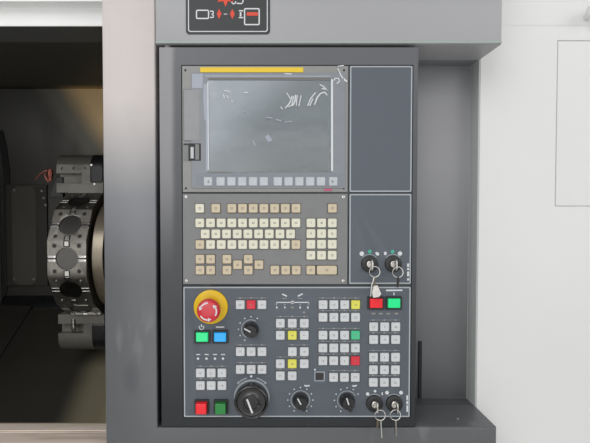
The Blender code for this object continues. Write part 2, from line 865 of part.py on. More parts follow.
def make_turret_disc():
    corner = disc_flat / math.cos(math.pi / station_count)
    outline = arc((0, 0), corner, 180 / station_count, 360 + 180 / station_count, station_count)[:-1]
    disc = prism(outline, -disc_width / 2, disc_width / 2)
    shaft = rod(disc_shaft_radius, 0, disc_width / 2 + disc_shaft_length, shaft_sides)
    disc = fuse(disc, shaft)
    tools = []
    for i in range(station_count):
        turn = Matrix.Rotation(math.tau * i / station_count, 4, "X")
        tools += [moved(tool, turn) for tool in station_tools()]
    face = rod(disc_face_groove, -disc_width / 2 - over, disc_face_depth - disc_width / 2, 24)
    disc = cut(disc, face, *tools)
    disc = at(disc, (disc_left + disc_right) / 2, turret_y, turret_z)
    node("turret_disc", disc, steel, 0.3, 0.9, hinge=(disc_left, turret_y, turret_z))


def make_holder(name, turn):
    """A boring-bar holder on one station: a base block and a rounded body bored along X."""
    bottom = disc_flat + gap
    axis_up = disc_flat + holder_body_rise
    half = holder_base_width / 2
    base = block((-disc_width / 2, -half, bottom), (disc_width / 2, half, bottom + holder_base_height))
    outline = [(-holder_body_radius, bottom + root), (holder_body_radius, bottom + root)]
    outline += arc((0, axis_up), holder_body_radius, 0, 180, 12)
    right = disc_width / 2
    body = prism(outline, right - holder_body_length, right)
    holder = fuse(base, body)
    tools = [at(rod(holder_bar_bore, right - holder_body_length - over, right + over, 16), 0, 0, axis_up)]
    relief_end = right - holder_body_length + holder_relief_length
    relief_top = axis_up - holder_relief_drop
    for low_y, high_y in ((-holder_body_radius - over, -holder_web_half),
                          (holder_web_half, holder_body_radius + over)):
        tools.append(block((right - holder_body_length - over, low_y, bottom + holder_base_height + root),
                           (relief_end, high_y, relief_top)))
    for i in range(holder_screw_count):
        x = right - holder_body_length * (i + 1 / 2) / holder_screw_count
        screw = rod(holder_screw_radius, -over, holder_screw_depth, 8)
        quarter = Matrix.Rotation(math.pi / 2, 4, "Z")
        front = Matrix.Translation((x, -holder_body_radius, axis_up)) @ quarter
        tools.append(moved(screw, front))
    holder = cut(holder, *tools)
    holder = moved(holder, Matrix.Rotation(turn, 4, "X"))
    holder = at(holder, (disc_left + disc_right) / 2, turret_y, turret_z)
    node(name, holder, dark_steel, 0.35, 0.6)


# Tailstock

def make_tailstock():
    right = x_right - tailstock_right_inset
    left = right - tailstock_length
    bottom = saddle_bottom
    barrel = tailstock_barrel
    outline = [(tailstock_low, bottom), (tailstock_high, bottom), (tailstock_high, bottom + tailstock_base),
               (tailstock_foot, bottom + tailstock_base)]
    outline += arc((0, 0), barrel, 0, 180, 14)
    outline += [(tailstock_low, bottom + tailstock_base)]
    body = prism(outline, left, right)
    bore = rod(quill_radius + gap, left - over, left + quill_seat + gap, 24)
    body = cut(body, bore, *way_grooves(left - over, right + over))
    node("tailstock", moved(body, slant_frame), cast_paint, 0.45, 0.0,
         hinge=(left, spindle_y, spindle_height))
    tip = left - quill_reach - centre_length
    nose = left - quill_reach
    shoulder = nose - centre_length / 2
    quill = turned([(tip, 0), (shoulder, centre_radius * 2 / 3), (shoulder, centre_radius),
                    (nose, centre_radius), (nose, quill_radius), (left + quill_seat, quill_radius),
                    (left + quill_seat, 0)], 24)
    node("tailstock_quill", at(quill, 0, spindle_y, spindle_height), steel, 0.25, 1.0,
         hinge=(left, spindle_y, spindle_height))


# Chamber, way cover and tank

def make_chamber():
    front = cover_y + sheet + gap
    low_front = sill_height - sheet - gap
    back_low = on_slant(saddle_high + running, chamber_lift - bed_drop)
    across = (chamber_back - spindle_y - (back_low[0] - spindle_y)) / math.cos(slant)
    back_low = (chamber_back, back_low[1] + across * math.sin(slant))
    low = on_slant(-bed_low_reach, chamber_lift - bed_drop)
    outline = [(front, low_front), (front, chamber_roof), (chamber_back, chamber_roof), back_low, low]
    cavity = shift_edges(outline, [-over, sheet, sheet, -over, sheet])
    walls = cut(prism(outline, chamber_left, chamber_right),
                prism(cavity, chamber_left + sheet, chamber_right - sheet))
    hole = rod(spindle_hole, chamber_left - over, chamber_left + sheet + over, 32)
    walls = cut(walls, at(hole, 0, spindle_y, spindle_height))
    left = x_open + guard_left
    bottom = sill_height + guard_rise
    guard = block((left, chamber_back - sheet - guard_thickness, bottom),
                  (left + guard_width, chamber_back - root, bottom + guard_height))
    walls = fuse(walls, guard)
    node("chamber_liner", walls, dark_steel, 0.35, 0.7)


def make_way_cover():
    top = way_cover_rise - bed_drop
    bottom = gap - bed_drop
    low_x = chamber_left + sheet + gap
    high_x = saddle_left - z_travel - running
    outline = [(way_cover_low, bottom), (way_cover_low, top), (way_cover_high, top), (way_cover_high, bottom)]
    cavity = shift_edges(outline, [sheet, sheet, sheet, -over])
    cover = cut(prism(outline, low_x, high_x), prism(cavity, low_x - over, high_x + over))
    node("way_cover", moved(cover, slant_frame), steel, 0.35, 1.0)


def make_tank():
    back = bed_front - gap
    low = (x_left + tank_end_inset, back - tank_depth, 0)
    high = (x_right - tank_end_inset, back, tank_height)
    body = block(low, high)
    inside = block((low[0] + sheet, low[1] + sheet, sheet),
                   (high[0] - sheet, high[1] - sheet, tank_height + over))
    node("coolant_tank", cut(body, inside), cast_paint, 0.5, 0.0)


# Covers

def make_left_cover():
    low = (x_left, cover_y, cover_lift)
    high = (x_open, rear_y - gap, upper_z - gap)
    shell = cut(block(low, high),
                block((x_left + sheet, cover_y + sheet, cover_lift - over), (x_open + over, rear_y + over,
                                                                             upper_z + over)))
    front = block((x_left - over, cover_y - over, cover_lift - over),
                  (x_open + over, cover_y + sheet * 2, sill_height + gap))
    node("left_cover", cut(shell, front), pale_paint, 0.4, 0.0)


def make_upper_cover():
    """Front band, bottom flange over the opening, roof and the rail that the door hangs from."""
    outline = [(cover_y, upper_z), (cover_y, top_z), (rear_y - gap, top_z), (rear_y - gap, upper_z)]
    cavity = shift_edges(outline, [sheet, sheet, -over, -over])
    shell = cut(prism(outline, x_left, x_niche_end - gap), prism(cavity, x_left + sheet, x_niche_end + over))
    front = cover_y + sheet
    flange = block((x_open, front - root, upper_z), (x_column, front + cover_flange, upper_z + sheet))
    rail_low = upper_z + door_rail_rise
    rail = block((x_left, cover_y - door_rail_depth, rail_low), (x_column - running, cover_y + root,
                                                                 rail_low + door_rail_height))
    node("upper_cover", fuse(shell, flange, rail), pale_paint, 0.4, 0.0)


def make_right_cover():
    left = x_niche_end + sheet + gap
    outer = block((x_niche_end, cover_y, cover_lift), (x_right, rear_y - gap, top_z))
    inner = block((x_niche_end - over, cover_y + sheet, cover_lift - over),
                  (x_right - sheet, rear_y + over, top_z - sheet))
    shell = cut(outer, inner)
    notch = block((x_niche_end - over, cover_y - over, ledge_top - sheet - gap),
                  (left, cover_y + sheet + over, header_bottom + sheet + gap))
    seam = block((left, cover_y - over, upper_z - seam_width / 2),
                 (x_right + over, cover_y + seam_depth, upper_z + seam_width / 2))
    shell = cut(shell, notch, seam)
    hatch_x = x_niche_end + hatch_left
    low = sill_height + hatch_bottom
    frame = block((hatch_x - hatch_frame, cover_y + sheet - root, low - hatch_frame),
                  (hatch_x + hatch_width + hatch_frame, cover_y + 2 * sheet,
                   low + hatch_height + hatch_frame))
    ball_x = x_niche_end + ball_left
    ball_z = sill_height + ball_height
    steps = [math.radians(a) for a in range(30, 181, 25)]
    profile = [(0, 0), (0, ball_neck), (ball_neck_length, ball_neck)]
    centre = ball_neck_length + ball_radius * math.cos(steps[0])
    profile += [(centre - ball_radius * math.cos(a), ball_radius * math.sin(a)) for a in steps[:-1]]
    profile += [(centre + ball_radius, 0)]
    ball = facing(turned(profile, 16), ball_x, cover_y + root, ball_z)
    shell = fuse(shell, frame, ball)
    clear = block((hatch_x - running, cover_y - over, low - running),
                  (hatch_x + hatch_width + running, cover_y + sheet + gap, low + hatch_height + running))
    shell = cut(shell, clear)
    through = block((hatch_x + hatch_frame, cover_y - over, low + hatch_frame),
                    (hatch_x + hatch_width - hatch_frame, cover_y + 3 * sheet,
                     low + hatch_height - hatch_frame))
    node("right_cover", cut(shell, through), pale_paint, 0.4, 0.0)
    hatch = block((hatch_x, cover_y, low), (hatch_x + hatch_width, cover_y + sheet, low + hatch_height))
    node("hatch_door", hatch, pale_paint, 0.4, 0.0, hinge=(hatch_x + hatch_width, cover_y, low))


def make_rear_cover():
    panel = block((x_left + sheet + gap, rear_y - sheet, cover_lift),
                  (x_right - sheet - gap, rear_y - gap, top_z - sheet - gap))
    node("rear_cover", panel, pale_paint, 0.45, 0.0)


def make_lower_front():
    """The front apron with the sill that the door runs on; it is lower under the console."""
    front = front_y + lower_front_step
    back = cover_y + sheet
    end = x_niche_end - gap
    top = sill_height
    outline = [(front, cover_lift), (front, top), (back, top), (back, cover_lift)]
    shell = cut(prism(outline, x_left, end),
                prism(shift_edges(outline, [sheet, sheet, -over, -over]), x_left + sheet, end - sheet))
    under = block((x_column - gap, front - over, ledge_bottom - gap), (end + over, back + over, top + over))
    channel = block((x_left - over, cover_y - channel_far, top - channel_depth + root),
                    (x_column + over, cover_y - channel_near, top + over))
    shell = cut(shell, under)
    lid = block((x_column - sheet, front, ledge_bottom - gap - sheet), (end, back, ledge_bottom - gap))
    shell = fuse(shell, lid)
    node("lower_front_cover", cut(shell, channel), pale_paint, 0.4, 0.0)


def make_front_frame():
    """Column and ledge folded from one sheet, open at the back."""
    back = cover_y - gap
    outline = [(x_column, ledge_bottom), (x_column, header_top), (x_niche, header_top), (x_niche, ledge_top),
               (x_niche_end, ledge_top), (x_niche_end, ledge_bottom)]
    frame = prism(outline, front_y, back, axis=1)
    fronts = [e for e in frame.edges if all(abs(v.co.y - front_y) < gap for v in e.verts)]
    bmesh.ops.bevel(frame, geom=fronts, offset=edge_round, segments=2, affect="EDGES", profile=1 / 2)
    hollow = prism(shift_edges(outline, [edge_round + sheet] * 6), front_y + edge_round + sheet, back + over,
                   axis=1)
    frame = cut(frame, hollow)
    pin_x = panel_left + panel_pivot_inset
    pin_y = front_y + panel_pivot_inset
    pin = rod(pivot_pin_radius + gap, ledge_top - pivot_pin_reach - panel_bottom_gap, ledge_top + over, 12)
    upright = Matrix.Translation((pin_x, pin_y, 0)) @ Matrix.Rotation(-math.pi / 2, 4, "Y")
    frame = cut(frame, moved(pin, upright))
    node("front_frame", frame, dark_paint, 0.45, 0.1)


def make_header():
    back = cover_y - gap
    left = x_niche + gap
    outline = [(left, header_bottom), (left, header_top), (x_niche_end, header_top),
               (x_niche_end, header_bottom)]
    header = prism(outline, front_y, back, axis=1)
    fronts = [e for e in header.edges if all(abs(v.co.y - front_y) < gap for v in e.verts)]
    bmesh.ops.bevel(header, geom=fronts, offset=edge_round, segments=2, affect="EDGES", profile=1 / 2)
    wall = edge_round + sheet
    hollow = prism(shift_edges(outline, [wall] * 4), front_y + wall, back + over, axis=1)
    header = cut(header, hollow)
    pin = rod(pivot_pin_radius + gap, header_bottom - over,
              header_bottom + pivot_pin_reach + panel_top_gap, 12)
    upright = (Matrix.Translation((panel_left + panel_pivot_inset, front_y + panel_pivot_inset, 0))
               @ Matrix.Rotation(-math.pi / 2, 4, "Y"))
    header = cut(header, moved(pin, upright))
    node("header_cover", header, dark_paint, 0.45, 0.1)


def make_niche():
    """A shallow tray behind the panel, with its open side to the front."""
    low = (x_niche + gap, cover_y, ledge_top - sheet)
    high = (x_niche_end + sheet, niche_y + sheet, header_bottom + sheet)
    tray = block(low, high)
    inside = block((low[0] + sheet, cover_y - over, ledge_top), (x_niche_end, niche_y, header_bottom))
    node("niche_liner", cut(tray, inside), dark_paint, 0.45, 0.1)


# Door

door_right = x_column - running - door_travel
door_left = door_right - opening_width - door_lap
door_front = cover_y - channel_far + 2 * gap
door_back = cover_y - channel_near - 2 * gap
door_bottom = sill_height - channel_depth + root + gap
door_top = upper_z + door_top_rise


def make_door():
    panel = block((door_left, door_front, door_bottom), (door_right, door_back, door_top))
    glass_left = door_left + window_side
    glass_low = door_bottom + window_bottom
    rail_top = upper_z + door_rail_rise + door_rail_height
    hanger = block((door_left, door_back - root, rail_top + gap), (door_right, cover_y - running, door_top))
    handle_x = door_right - door_handle_inset
    handle_z = door_bottom + door_handle_bottom
    handle_top = handle_z + door_handle_length
    reach = door_front - door_handle_reach
    bar = door_handle_bar
    handle = block((handle_x - bar, reach, handle_z), (handle_x + bar, door_front + root, handle_top))
    finger = block((handle_x - over - bar, reach + 2 * bar, handle_z + 3 * bar),
                   (handle_x + bar + over, door_front, handle_top - 3 * bar))
    handle = cut(handle, finger)
    panel = fuse(panel, hanger, handle)
    rebate = block((glass_left - window_rebate, door_front - over, glass_low - window_rebate),
                   (glass_left + window_width + window_rebate, door_front + glass_thickness + gap,
                    glass_low + window_height + window_rebate))
    through = block((glass_left, door_front - over, glass_low),
                    (glass_left + window_width, door_back + over, glass_low + window_height))
    panel = cut(cut(panel, rebate), through)
    node("door_panel", panel, pale_paint, 0.4, 0.0, hinge=(door_left, door_front, door_bottom))
    glass = block((glass_left - window_rebate + gap, door_front, glass_low - window_rebate + gap),
                  (glass_left + window_width + window_rebate - gap, door_front + glass_thickness,
                   glass_low + window_height + window_rebate - gap))
    node("door_window", glass, glass_tint, 0.1, 0.0, hinge=(door_left, door_front, door_bottom))


# Electrical cabinet

def make_cabinet():
    low = (x_right - cabinet_left_inset, rear_y, cabinet_bottom)
    high = (x_right - cabinet_right_inset, cabinet_face - cabinet_door_thickness - gap,
            top_z - cabinet_top_drop)
    wall = cabinet_wall
    box = cut(block(low, high),
              block((low[0] + wall, low[1] + wall, low[2] + wall),
                     (high[0] - wall, high[1] + over, high[2] - wall)))
    node("electrical_cabinet", box, pale_paint, 0.45, 0.0)
    door = block((low[0], high[1] + gap, low[2]), (high[0], cabinet_face, high[2]))
    edges = [e for e in door.edges if all(v.co.y > cabinet_face - gap for v in e.verts)]
    bmesh.ops.bevel(door, geom=edges, offset=edge_round, segments=2, affect="EDGES", profile=1 / 2)
    left = low[0] + cabinet_handle_inset
    middle = (low[2] + high[2]) / 2
    grip = block((left, cabinet_face - root, middle - cabinet_handle_length / 2),
                 (left + cabinet_handle_width, back_y, middle + cabinet_handle_length / 2))
    ends = [e for e in grip.edges if all(v.co.y > back_y - gap for v in e.verts)]
    bmesh.ops.bevel(grip, geom=ends, offset=edge_round, segments=2, affect="EDGES", profile=1 / 2)
    barrels = []
    for z in (low[2] + cabinet_hinge_inset, high[2] - cabinet_hinge_inset - cabinet_hinge_length):
        barrel = rod(cabinet_hinge_radius, 0, cabinet_hinge_length, 12)
        barrel = moved(barrel, Matrix.Rotation(-math.pi / 2, 4, "Y"))
        barrels.append(at(barrel, high[0] - 2 * cabinet_hinge_radius, cabinet_face, z))
    door = fuse(door, grip, *barrels)
    node("cabinet_door", door, pale_paint, 0.45, 0.0, hinge=(high[0], high[1] + gap / 2, low[2]))


# Operator panel

pivot = (panel_left + panel_pivot_inset, front_y + panel_pivot_inset, panel_bottom)
operator_x = plate_x
operator_top = operator_bottom + operator_height
card_x = plate_x + unit_width * card_cover_shares[0]
card_z = display_bottom + display_height * card_cover_shares[1]


def on_plate(across, down):
    """The X and Z of a point on the operator plate, from its left and top."""
    return operator_x + operator_width * across, operator_top - operator_height * down


def make_panel_box():
    box = block((panel_left, panel_face, panel_bottom),
                (panel_left + panel_width, front_y + panel_depth, panel_top))
    uprights = [e for e in box.edges if abs(e.verts[0].co.z - e.verts[1].co.z) > panel_width]
    bmesh.ops.bevel(box, geom=uprights, offset=bezel_round, segments=2, affect="EDGES", profile=1 / 2)
    border = block((panel_left, front_y, panel_bottom),
                   (plate_x - plate_column_gap / 2, panel_face + root, panel_top))
    cap = block((plate_x - plate_column_gap, front_y, plates_top + plate_column_gap / 2),
                (panel_left + panel_width, panel_face + root, panel_top))
    foot = block((plate_x - plate_column_gap, front_y, panel_bottom),
                 (panel_left + panel_width, panel_face + root, operator_bottom - plate_column_gap / 2))
    edge = block((plate_x + operator_width + plate_column_gap / 2, front_y, panel_bottom + root),
                 (panel_left + panel_width, panel_face + root, panel_top - root))
    box = fuse(fuse(fuse(box, border), cap, foot), edge)
    upright = Matrix.Translation((pivot[0], pivot[1], 0)) @ Matrix.Rotation(-math.pi / 2, 4, "Y")
    low_pin = rod(pivot_pin_radius, panel_bottom - pivot_pin_reach, panel_bottom + root, 12)
    high_pin = rod(pivot_pin_radius, panel_top - root, panel_top + pivot_pin_reach, 12)
    box = fuse(box, moved(low_pin, upright), moved(high_pin, upright))
    holes = []
    places = [on_plate(*stop_centre_shares), on_plate(*wheel_centre_shares)]
    places += [on_plate(across, down) for _, across, down in knob_centres_shares]
    radii = [stop_stem_radius] + [shaft_radius] * (len(places) - 1)
    sides = [24] + [12] * (len(places) - 1)
    for (x, z), radius, count in zip(places, radii, sides):
        holes.append(facing(rod(radius + gap, -over * 2, over, count), x, panel_face, z))
    box = cut(box, *holes)
    node("panel_box", box, panel_paint, 0.45, 0.0, hinge=pivot)


def key_row(left, top, across, down, pitch_x, pitch_z, width, height, rise):
    """Blocks for a field of keys on a plate whose face is the panel's front."""
    keys = []
    for column in range(across):
        for row in range(down):
            x = left + column * pitch_x
            z = top - row * pitch_z
            keys.append(block((x, front_y - rise, z - height), (x + width, front_y + root, z)))
    return keys


def make_display():
    plate = block((plate_x, front_y, display_bottom),
                  (plate_x + unit_width, plate_back, display_bottom + display_height))
    across, up, wide, high = screen_shares
    x = plate_x + unit_width * across
    z = display_bottom + display_height * up
    z = z + display_height * soft_key_height_share
    screen = block((x, front_y - over, z), (x + unit_width * wide, front_y + screen_recess,
                                            z + display_height * (high - soft_key_height_share * 3 / 2)))
    card = block((card_x - gap, front_y - over, card_z - gap),
                 (card_x + unit_width * card_cover_shares[2] + gap, front_y + screen_recess,
                  card_z + display_height * card_cover_shares[3] + gap))
    plate = cut(plate, screen, card)
    keys = []
    top = display_bottom + display_height * (soft_key_row_share + soft_key_height_share) - display_height / 50
    for left, count in soft_key_shares:
        keys += key_row(plate_x + unit_width * left, top, count, 1, unit_width * soft_key_pitch_share, 0,
                        unit_width * soft_key_width_share, display_height * soft_key_height_share, key_rise)
    plate = fuse(plate, *keys)
    node("display_unit", plate, plate_grey, 0.4, 0.0, hinge=pivot)
    thick = card_cover_thickness
    cover = block((card_x, front_y + screen_recess - gap - thick, card_z),
                  (card_x + unit_width * card_cover_shares[2], front_y + screen_recess - gap,
                   card_z + display_height * card_cover_shares[3]))
    node("card_slot_cover", cover, plate_grey, 0.4, 0.0,
         hinge=(card_x, front_y + screen_recess - gap - thick, card_z))


def make_keyboard():
    top_z = keyboard_bottom + keyboard_height
    plate = block((plate_x, front_y, keyboard_bottom), (plate_x + unit_width, plate_back, top_z))
    left = plate_x + unit_width * keyboard_left_share
    top = top_z - keyboard_height * keyboard_top_share
    keys = []
    for column, row, across, down in keyboard_blocks_shares:
        keys += key_row(left + column * key_pitch, top - row * key_pitch, across, down, key_pitch, key_pitch,
                        key_size, key_size, key_rise)
    column, row, width = wide_key_shares
    keys += key_row(left + column * key_pitch, top - row * key_pitch, 1, 1, 0, 0, width * key_pitch,
                        key_size, key_rise)
    node("keyboard_unit", fuse(plate, *keys), plate_grey, 0.45, 0.0, hinge=pivot)


def make_side_plates():
    low = keyboard_bottom
    high = low + keyboard_height
    right = right_plate_x + right_plate_width
    blank = block((right_plate_x, front_y, high + plate_column_gap), (right, plate_back, plates_top))
    node("blank_plate", blank, slate, 0.45, 0.0, hinge=pivot)
    plate = block((right_plate_x, front_y, low), (right, plate_back, high))
    bodies = []
    holes = []
    for name, across, down in upper_key_places_shares:
        x = right_plate_x + right_plate_width * across
        z = high - keyboard_height * down
        bodies.append(facing(rod(key_switch_radius, -root, key_switch_rise, 16), x, front_y, z))
        holes.append(facing(rod(key_barrel_radius + gap, -over, key_switch_rise + over, 12), x, front_y, z))
        make_panel_key(name, x, z)
    plate = cut(fuse(plate, *bodies), *holes)
    node("key_plate", plate, slate, 0.45, 0.0, hinge=pivot)


def make_panel_key(name, x, z):
    """A switch barrel with the key in it: the bow stands out of the barrel."""
    front = key_switch_rise + key_barrel_rise
    barrel = rod(key_barrel_radius, -plate_thickness + gap, front, 12)
    bow_low = front - root
    half = key_bow_width / 2
    bow = block((bow_low, -key_blade / 2, -half), (bow_low + key_bow_length, key_blade / 2, half))
    key = facing(fuse(barrel, bow), x, front_y, z)
    node(name, key, steel, 0.3, 1.0, hinge=(x, front_y, z))


def make_operator_plate():
    plate = block((operator_x, front_y, operator_bottom),
                  (operator_x + operator_width, plate_back, operator_top))
    keys = []
    for left, down, across, rows, pitch_x, pitch_z in operator_blocks_shares:
        x, z = on_plate(left, down)
        keys += key_row(x, z, across, rows, operator_width * pitch_x, operator_height * pitch_z,
                        operator_key_size, operator_key_size, key_rise)
    bodies = []
    holes = []
    x, z = on_plate(*stop_centre_shares)
    bodies.append(facing(rod(stop_ring_radius, -root, stop_ring_rise, 24), x, front_y, z))
    holes.append(facing(rod(stop_stem_radius + gap, -over, stop_ring_rise + over, 24), x, front_y, z))
    for name, across, down in key_places_shares:
        x, z = on_plate(across, down)
        bodies.append(facing(rod(key_switch_radius, -root, key_switch_rise, 16), x, front_y, z))
        holes.append(facing(rod(key_barrel_radius + gap, -over, key_switch_rise + over, 12), x, front_y, z))
        make_panel_key(name, x, z)
    for across, down in [wheel_centre_shares] + [place[1:] for place in knob_centres_shares]:
        x, z = on_plate(across, down)
        holes.append(facing(rod(shaft_radius + gap, -over, over, 12), x, front_y, z))
    for name, left, down, width, height, proud in push_button_shares:
        x, z = on_plate(left, down)
        wide = operator_width * width
        high = operator_height * height
        bodies.append(block((x - button_bezel, front_y - button_bezel_rise, z - high - button_bezel),
                            (x + wide + button_bezel, front_y + root, z + button_bezel)))
        holes.append(block((x - gap, front_y - button_bezel_rise - over, z - high - gap),
                           (x + wide + gap, front_y + button_seat, z + gap)))
    plate = fuse(plate, *keys, *bodies)
    plate = cut(plate, *holes)
    node("operator_plate", plate, slate, 0.45, 0.0, hinge=pivot)


def make_controls():
    x, z = on_plate(*stop_centre_shares)
    front = stop_reach
    back = front - stop_head_height
    head = turned([(-plate_thickness - over, 0), (-plate_thickness - over, stop_stem_radius),
                   (back, stop_stem_radius), (back, stop_head_neck),
                   (back + stop_head_height / 4, stop_head_radius),
                   (front - stop_head_height / 3, stop_head_radius),
                   (front - stop_head_height / 12, stop_head_radius * 5 / 6),
                   (front, stop_head_radius / 2), (front, 0)], 24)
    node("emergency_stop", facing(head, x, front_y, z), red, 0.35, 0.0, hinge=(x, front_y, z))
    x, z = on_plate(*wheel_centre_shares)
    dish = wheel_rise / 4
    wheel = turned([(-over, 0), (-over, shaft_radius), (gap, shaft_radius), (gap, wheel_radius * 5 / 6),
                    (dish, wheel_radius), (wheel_rise - dish, wheel_radius),
                    (wheel_rise, wheel_radius * 5 / 6),
                    (wheel_rise, wheel_hub_radius * 3 / 2), (wheel_rise - dish / 2, wheel_hub_radius),
                    (wheel_rise - dish / 2, 0)], 24)
    node("handwheel", facing(wheel, x, front_y, z), black, 0.35, 0.0, hinge=(x, front_y, z))
    for name, across, down in knob_centres_shares:
        x, z = on_plate(across, down)
        skirt = turned([(-over, 0), (-over, shaft_radius), (gap, shaft_radius), (gap, knob_radius),
                        (knob_skirt, knob_radius), (knob_skirt * 2, knob_radius * 5 / 6),
                        (knob_rise, knob_radius * 3 / 4), (knob_rise, 0)], 16)
        grip = block((knob_skirt, -knob_grip_width / 2, -knob_radius),
                     (knob_rise + root, knob_grip_width / 2, knob_radius / 2))
        node(name, facing(fuse(skirt, grip), x, front_y, z), black, 0.35, 0.0, hinge=(x, front_y, z))
    colours = (green, blue, red, dark_green, red, green)
    for (name, left, down, width, height, proud), colour in zip(push_button_shares, colours):
        x, z = on_plate(left, down)
        wide = operator_width * width
        high = operator_height * height
        rise = button_rise * proud
        cap = block((x, front_y - rise, z - high), (x + wide, front_y + button_seat - button_travel - gap, z))
        outer = [e for e in cap.edges if all(abs(v.co.y - front_y + rise) < gap for v in e.verts)]
        bmesh.ops.bevel(cap, geom=outer, offset=root / 2, segments=1, affect="EDGES")
        node(name, cap, colour, 0.35, 0.0, hinge=(x, front_y, z))


# Build

for old in list(bpy.data.objects):
    bpy.data.objects.remove(old)
make_bed()
make_z_screw()
make_headstock()
make_spindle()
make_chuck()
make_motor()
make_belt()
make_saddle()
make_cross_slide()
make_turret_housing()
make_turret_disc()
make_holder("upper_tool_holder", 0)
make_holder("lower_tool_holder", math.pi)
make_tailstock()
make_chamber()
make_way_cover()
make_tank()
make_left_cover()
make_upper_cover()
make_right_cover()
make_rear_cover()
make_lower_front()
make_front_frame()
make_header()
make_niche()
make_door()
make_cabinet()
make_panel_box()
make_display()
make_keyboard()
make_side_plates()
make_operator_plate()
make_controls()
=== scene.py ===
"""The looks of a slant-bed turning lathe: finishes, keys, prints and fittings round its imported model."""

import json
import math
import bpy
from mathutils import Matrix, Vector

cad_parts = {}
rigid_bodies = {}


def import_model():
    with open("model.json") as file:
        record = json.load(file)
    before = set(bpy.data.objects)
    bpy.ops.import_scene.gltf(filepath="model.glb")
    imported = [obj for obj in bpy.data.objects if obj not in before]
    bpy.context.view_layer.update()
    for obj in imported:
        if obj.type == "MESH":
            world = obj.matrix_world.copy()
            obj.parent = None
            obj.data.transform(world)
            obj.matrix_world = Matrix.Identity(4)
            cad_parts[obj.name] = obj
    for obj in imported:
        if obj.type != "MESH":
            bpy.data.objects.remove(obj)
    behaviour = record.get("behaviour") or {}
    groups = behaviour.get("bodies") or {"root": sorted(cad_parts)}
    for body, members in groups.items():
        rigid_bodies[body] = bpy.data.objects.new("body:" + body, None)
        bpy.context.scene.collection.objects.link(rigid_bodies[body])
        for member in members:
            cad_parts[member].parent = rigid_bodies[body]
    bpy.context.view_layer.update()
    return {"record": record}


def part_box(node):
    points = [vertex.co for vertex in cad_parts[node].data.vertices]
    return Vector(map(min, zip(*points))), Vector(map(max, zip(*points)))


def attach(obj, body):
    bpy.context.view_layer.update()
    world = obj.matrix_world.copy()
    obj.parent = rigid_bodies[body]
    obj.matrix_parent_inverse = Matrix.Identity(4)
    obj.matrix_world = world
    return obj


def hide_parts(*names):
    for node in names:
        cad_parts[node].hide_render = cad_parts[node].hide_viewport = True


bl_info = {
    "name": "Turning lathe looks",
    "version": (1, 0, 0),
    "blender": (4, 5, 0),
    "location": "View3D > Sidebar > Lathe",
    "description": "Finishes, keys, prints and fittings of a slant-bed turning lathe",
    "category": "Object",
}

import bmesh
import bpy
from mathutils import Matrix, Vector

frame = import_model()

# Photograph frame and camera
photo_width = 590
photo_height = 443
focal_px = 480
axis_px = 271
camera_x = 0.57
camera_z = 1.3563
camera_back = 0.845
camera_pitch = math.radians(1.61)
sensor = 36

# How close points merge, how deep a piece sinks into its carrier, and how thick print is
merge = 0.00002
sink = 0.00005
ink = 0.00025

# Edges that turn more than this stay sharp, on single and on repeated pieces; flatter faces are joined
smooth_angle = math.radians(35)
repeat_angle = math.radians(30)
flat_angle = math.radians(0.5)

# How far a finished key cap stands out from the solid's key, how far it spreads, and its surround of painted
# shade
cap_lift = 0.0007
cap_spread = 0.0003
well_spread = 0.0022

# Planes and corners read from the frame
blank_low, blank_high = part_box("blank_plate")
operator_low, operator_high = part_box("operator_plate")
keyboard_low, keyboard_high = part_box("keyboard_unit")
display_low, display_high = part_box("display_unit")
key_plate_low, key_plate_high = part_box("key_plate")
face_y = blank_low.y
operator_width = operator_high.x - operator_low.x
operator_height = operator_high.z - operator_low.z
keyboard_width = keyboard_high.x - keyboard_low.x
keyboard_height = keyboard_high.z - keyboard_low.z
keyboard_rise = face_y - keyboard_low.y
display_width = display_high.x - display_low.x
display_height = display_high.z - display_low.z

# The body that each CAD node belongs to
body_of = {node: body for body, nodes in frame["record"]["behaviour"]["bodies"].items() for node in nodes}

# Keys of the keyboard: column, row, keys across and keys down, in key pitches from the first key
number_column = 10.4
key_pitch = 0.01877
key_size = 0.0150
keyboard_left_share = 0.0785
keyboard_top_share = 0.113
ivory_blocks = (
    (0, 0, 1, 1), (0, 1.37, 10, 1), (0.5, 2.4, 9, 1), (1, 3.4, 8, 1), (number_column, 1.37, 3, 3),
    (number_column, 4.4, 3, 1))
tan_blocks = (
    (1.5, 0, 1, 1), (3, 0, 7, 1), (12.4, 0, 1, 1), (0, 3.4, 1, 1), (9, 3.4, 1, 1), (0, 4.77, 2, 1),
    (0, 5.8, 2, 1), (2.53, 4.77, 1, 1), (2.53, 5.8, 1, 1), (3.53, 5.3, 1, 1), (4.53, 4.77, 1, 1),
    (4.53, 5.8, 1, 1), (5.53, 5.3, 1, 1), (7.03, 5.8, 3, 1), (number_column, 5.8, 1, 1))
wide_key = (11.4, 5.8, 1.81)

# Soft keys under the screen: left side and count of each group, then pitch, width and height, as shares
soft_key_shares = ((0.131, 1), (0.207, 5), (0.552, 5), (0.887, 1))
soft_key_pitch_share = 0.0652
soft_key_width_share = 0.049
soft_key_height_share = 0.067
soft_key_centre_share = 0.084

# Parts of the display unit: left, low, right and high, as shares of its face
display_step_shares = (0.055, 0.030, 0.985, 0.945)
display_opening_shares = (0.150, 0.157, 0.905, 0.886)
display_screen_shares = (0.148, 0.156, 0.907, 0.888)
display_film_shares = (0.150, 0.160, 0.905, 0.882)
soft_strip_shares = (0.085, 0.046, 0.975, 0.150)
yellow_strip_shares = (0.110, 0.952, 0.730, 0.986)

# How far the display's layers stand out from the panel's face
step_rise = 0.0016
strip_rise = 0.0019
soft_key_seat = 0.0014
soft_key_height = 0.0026
soft_key_top = 0.0023
film_rise = 0.0011
shine_rise = 0.0012

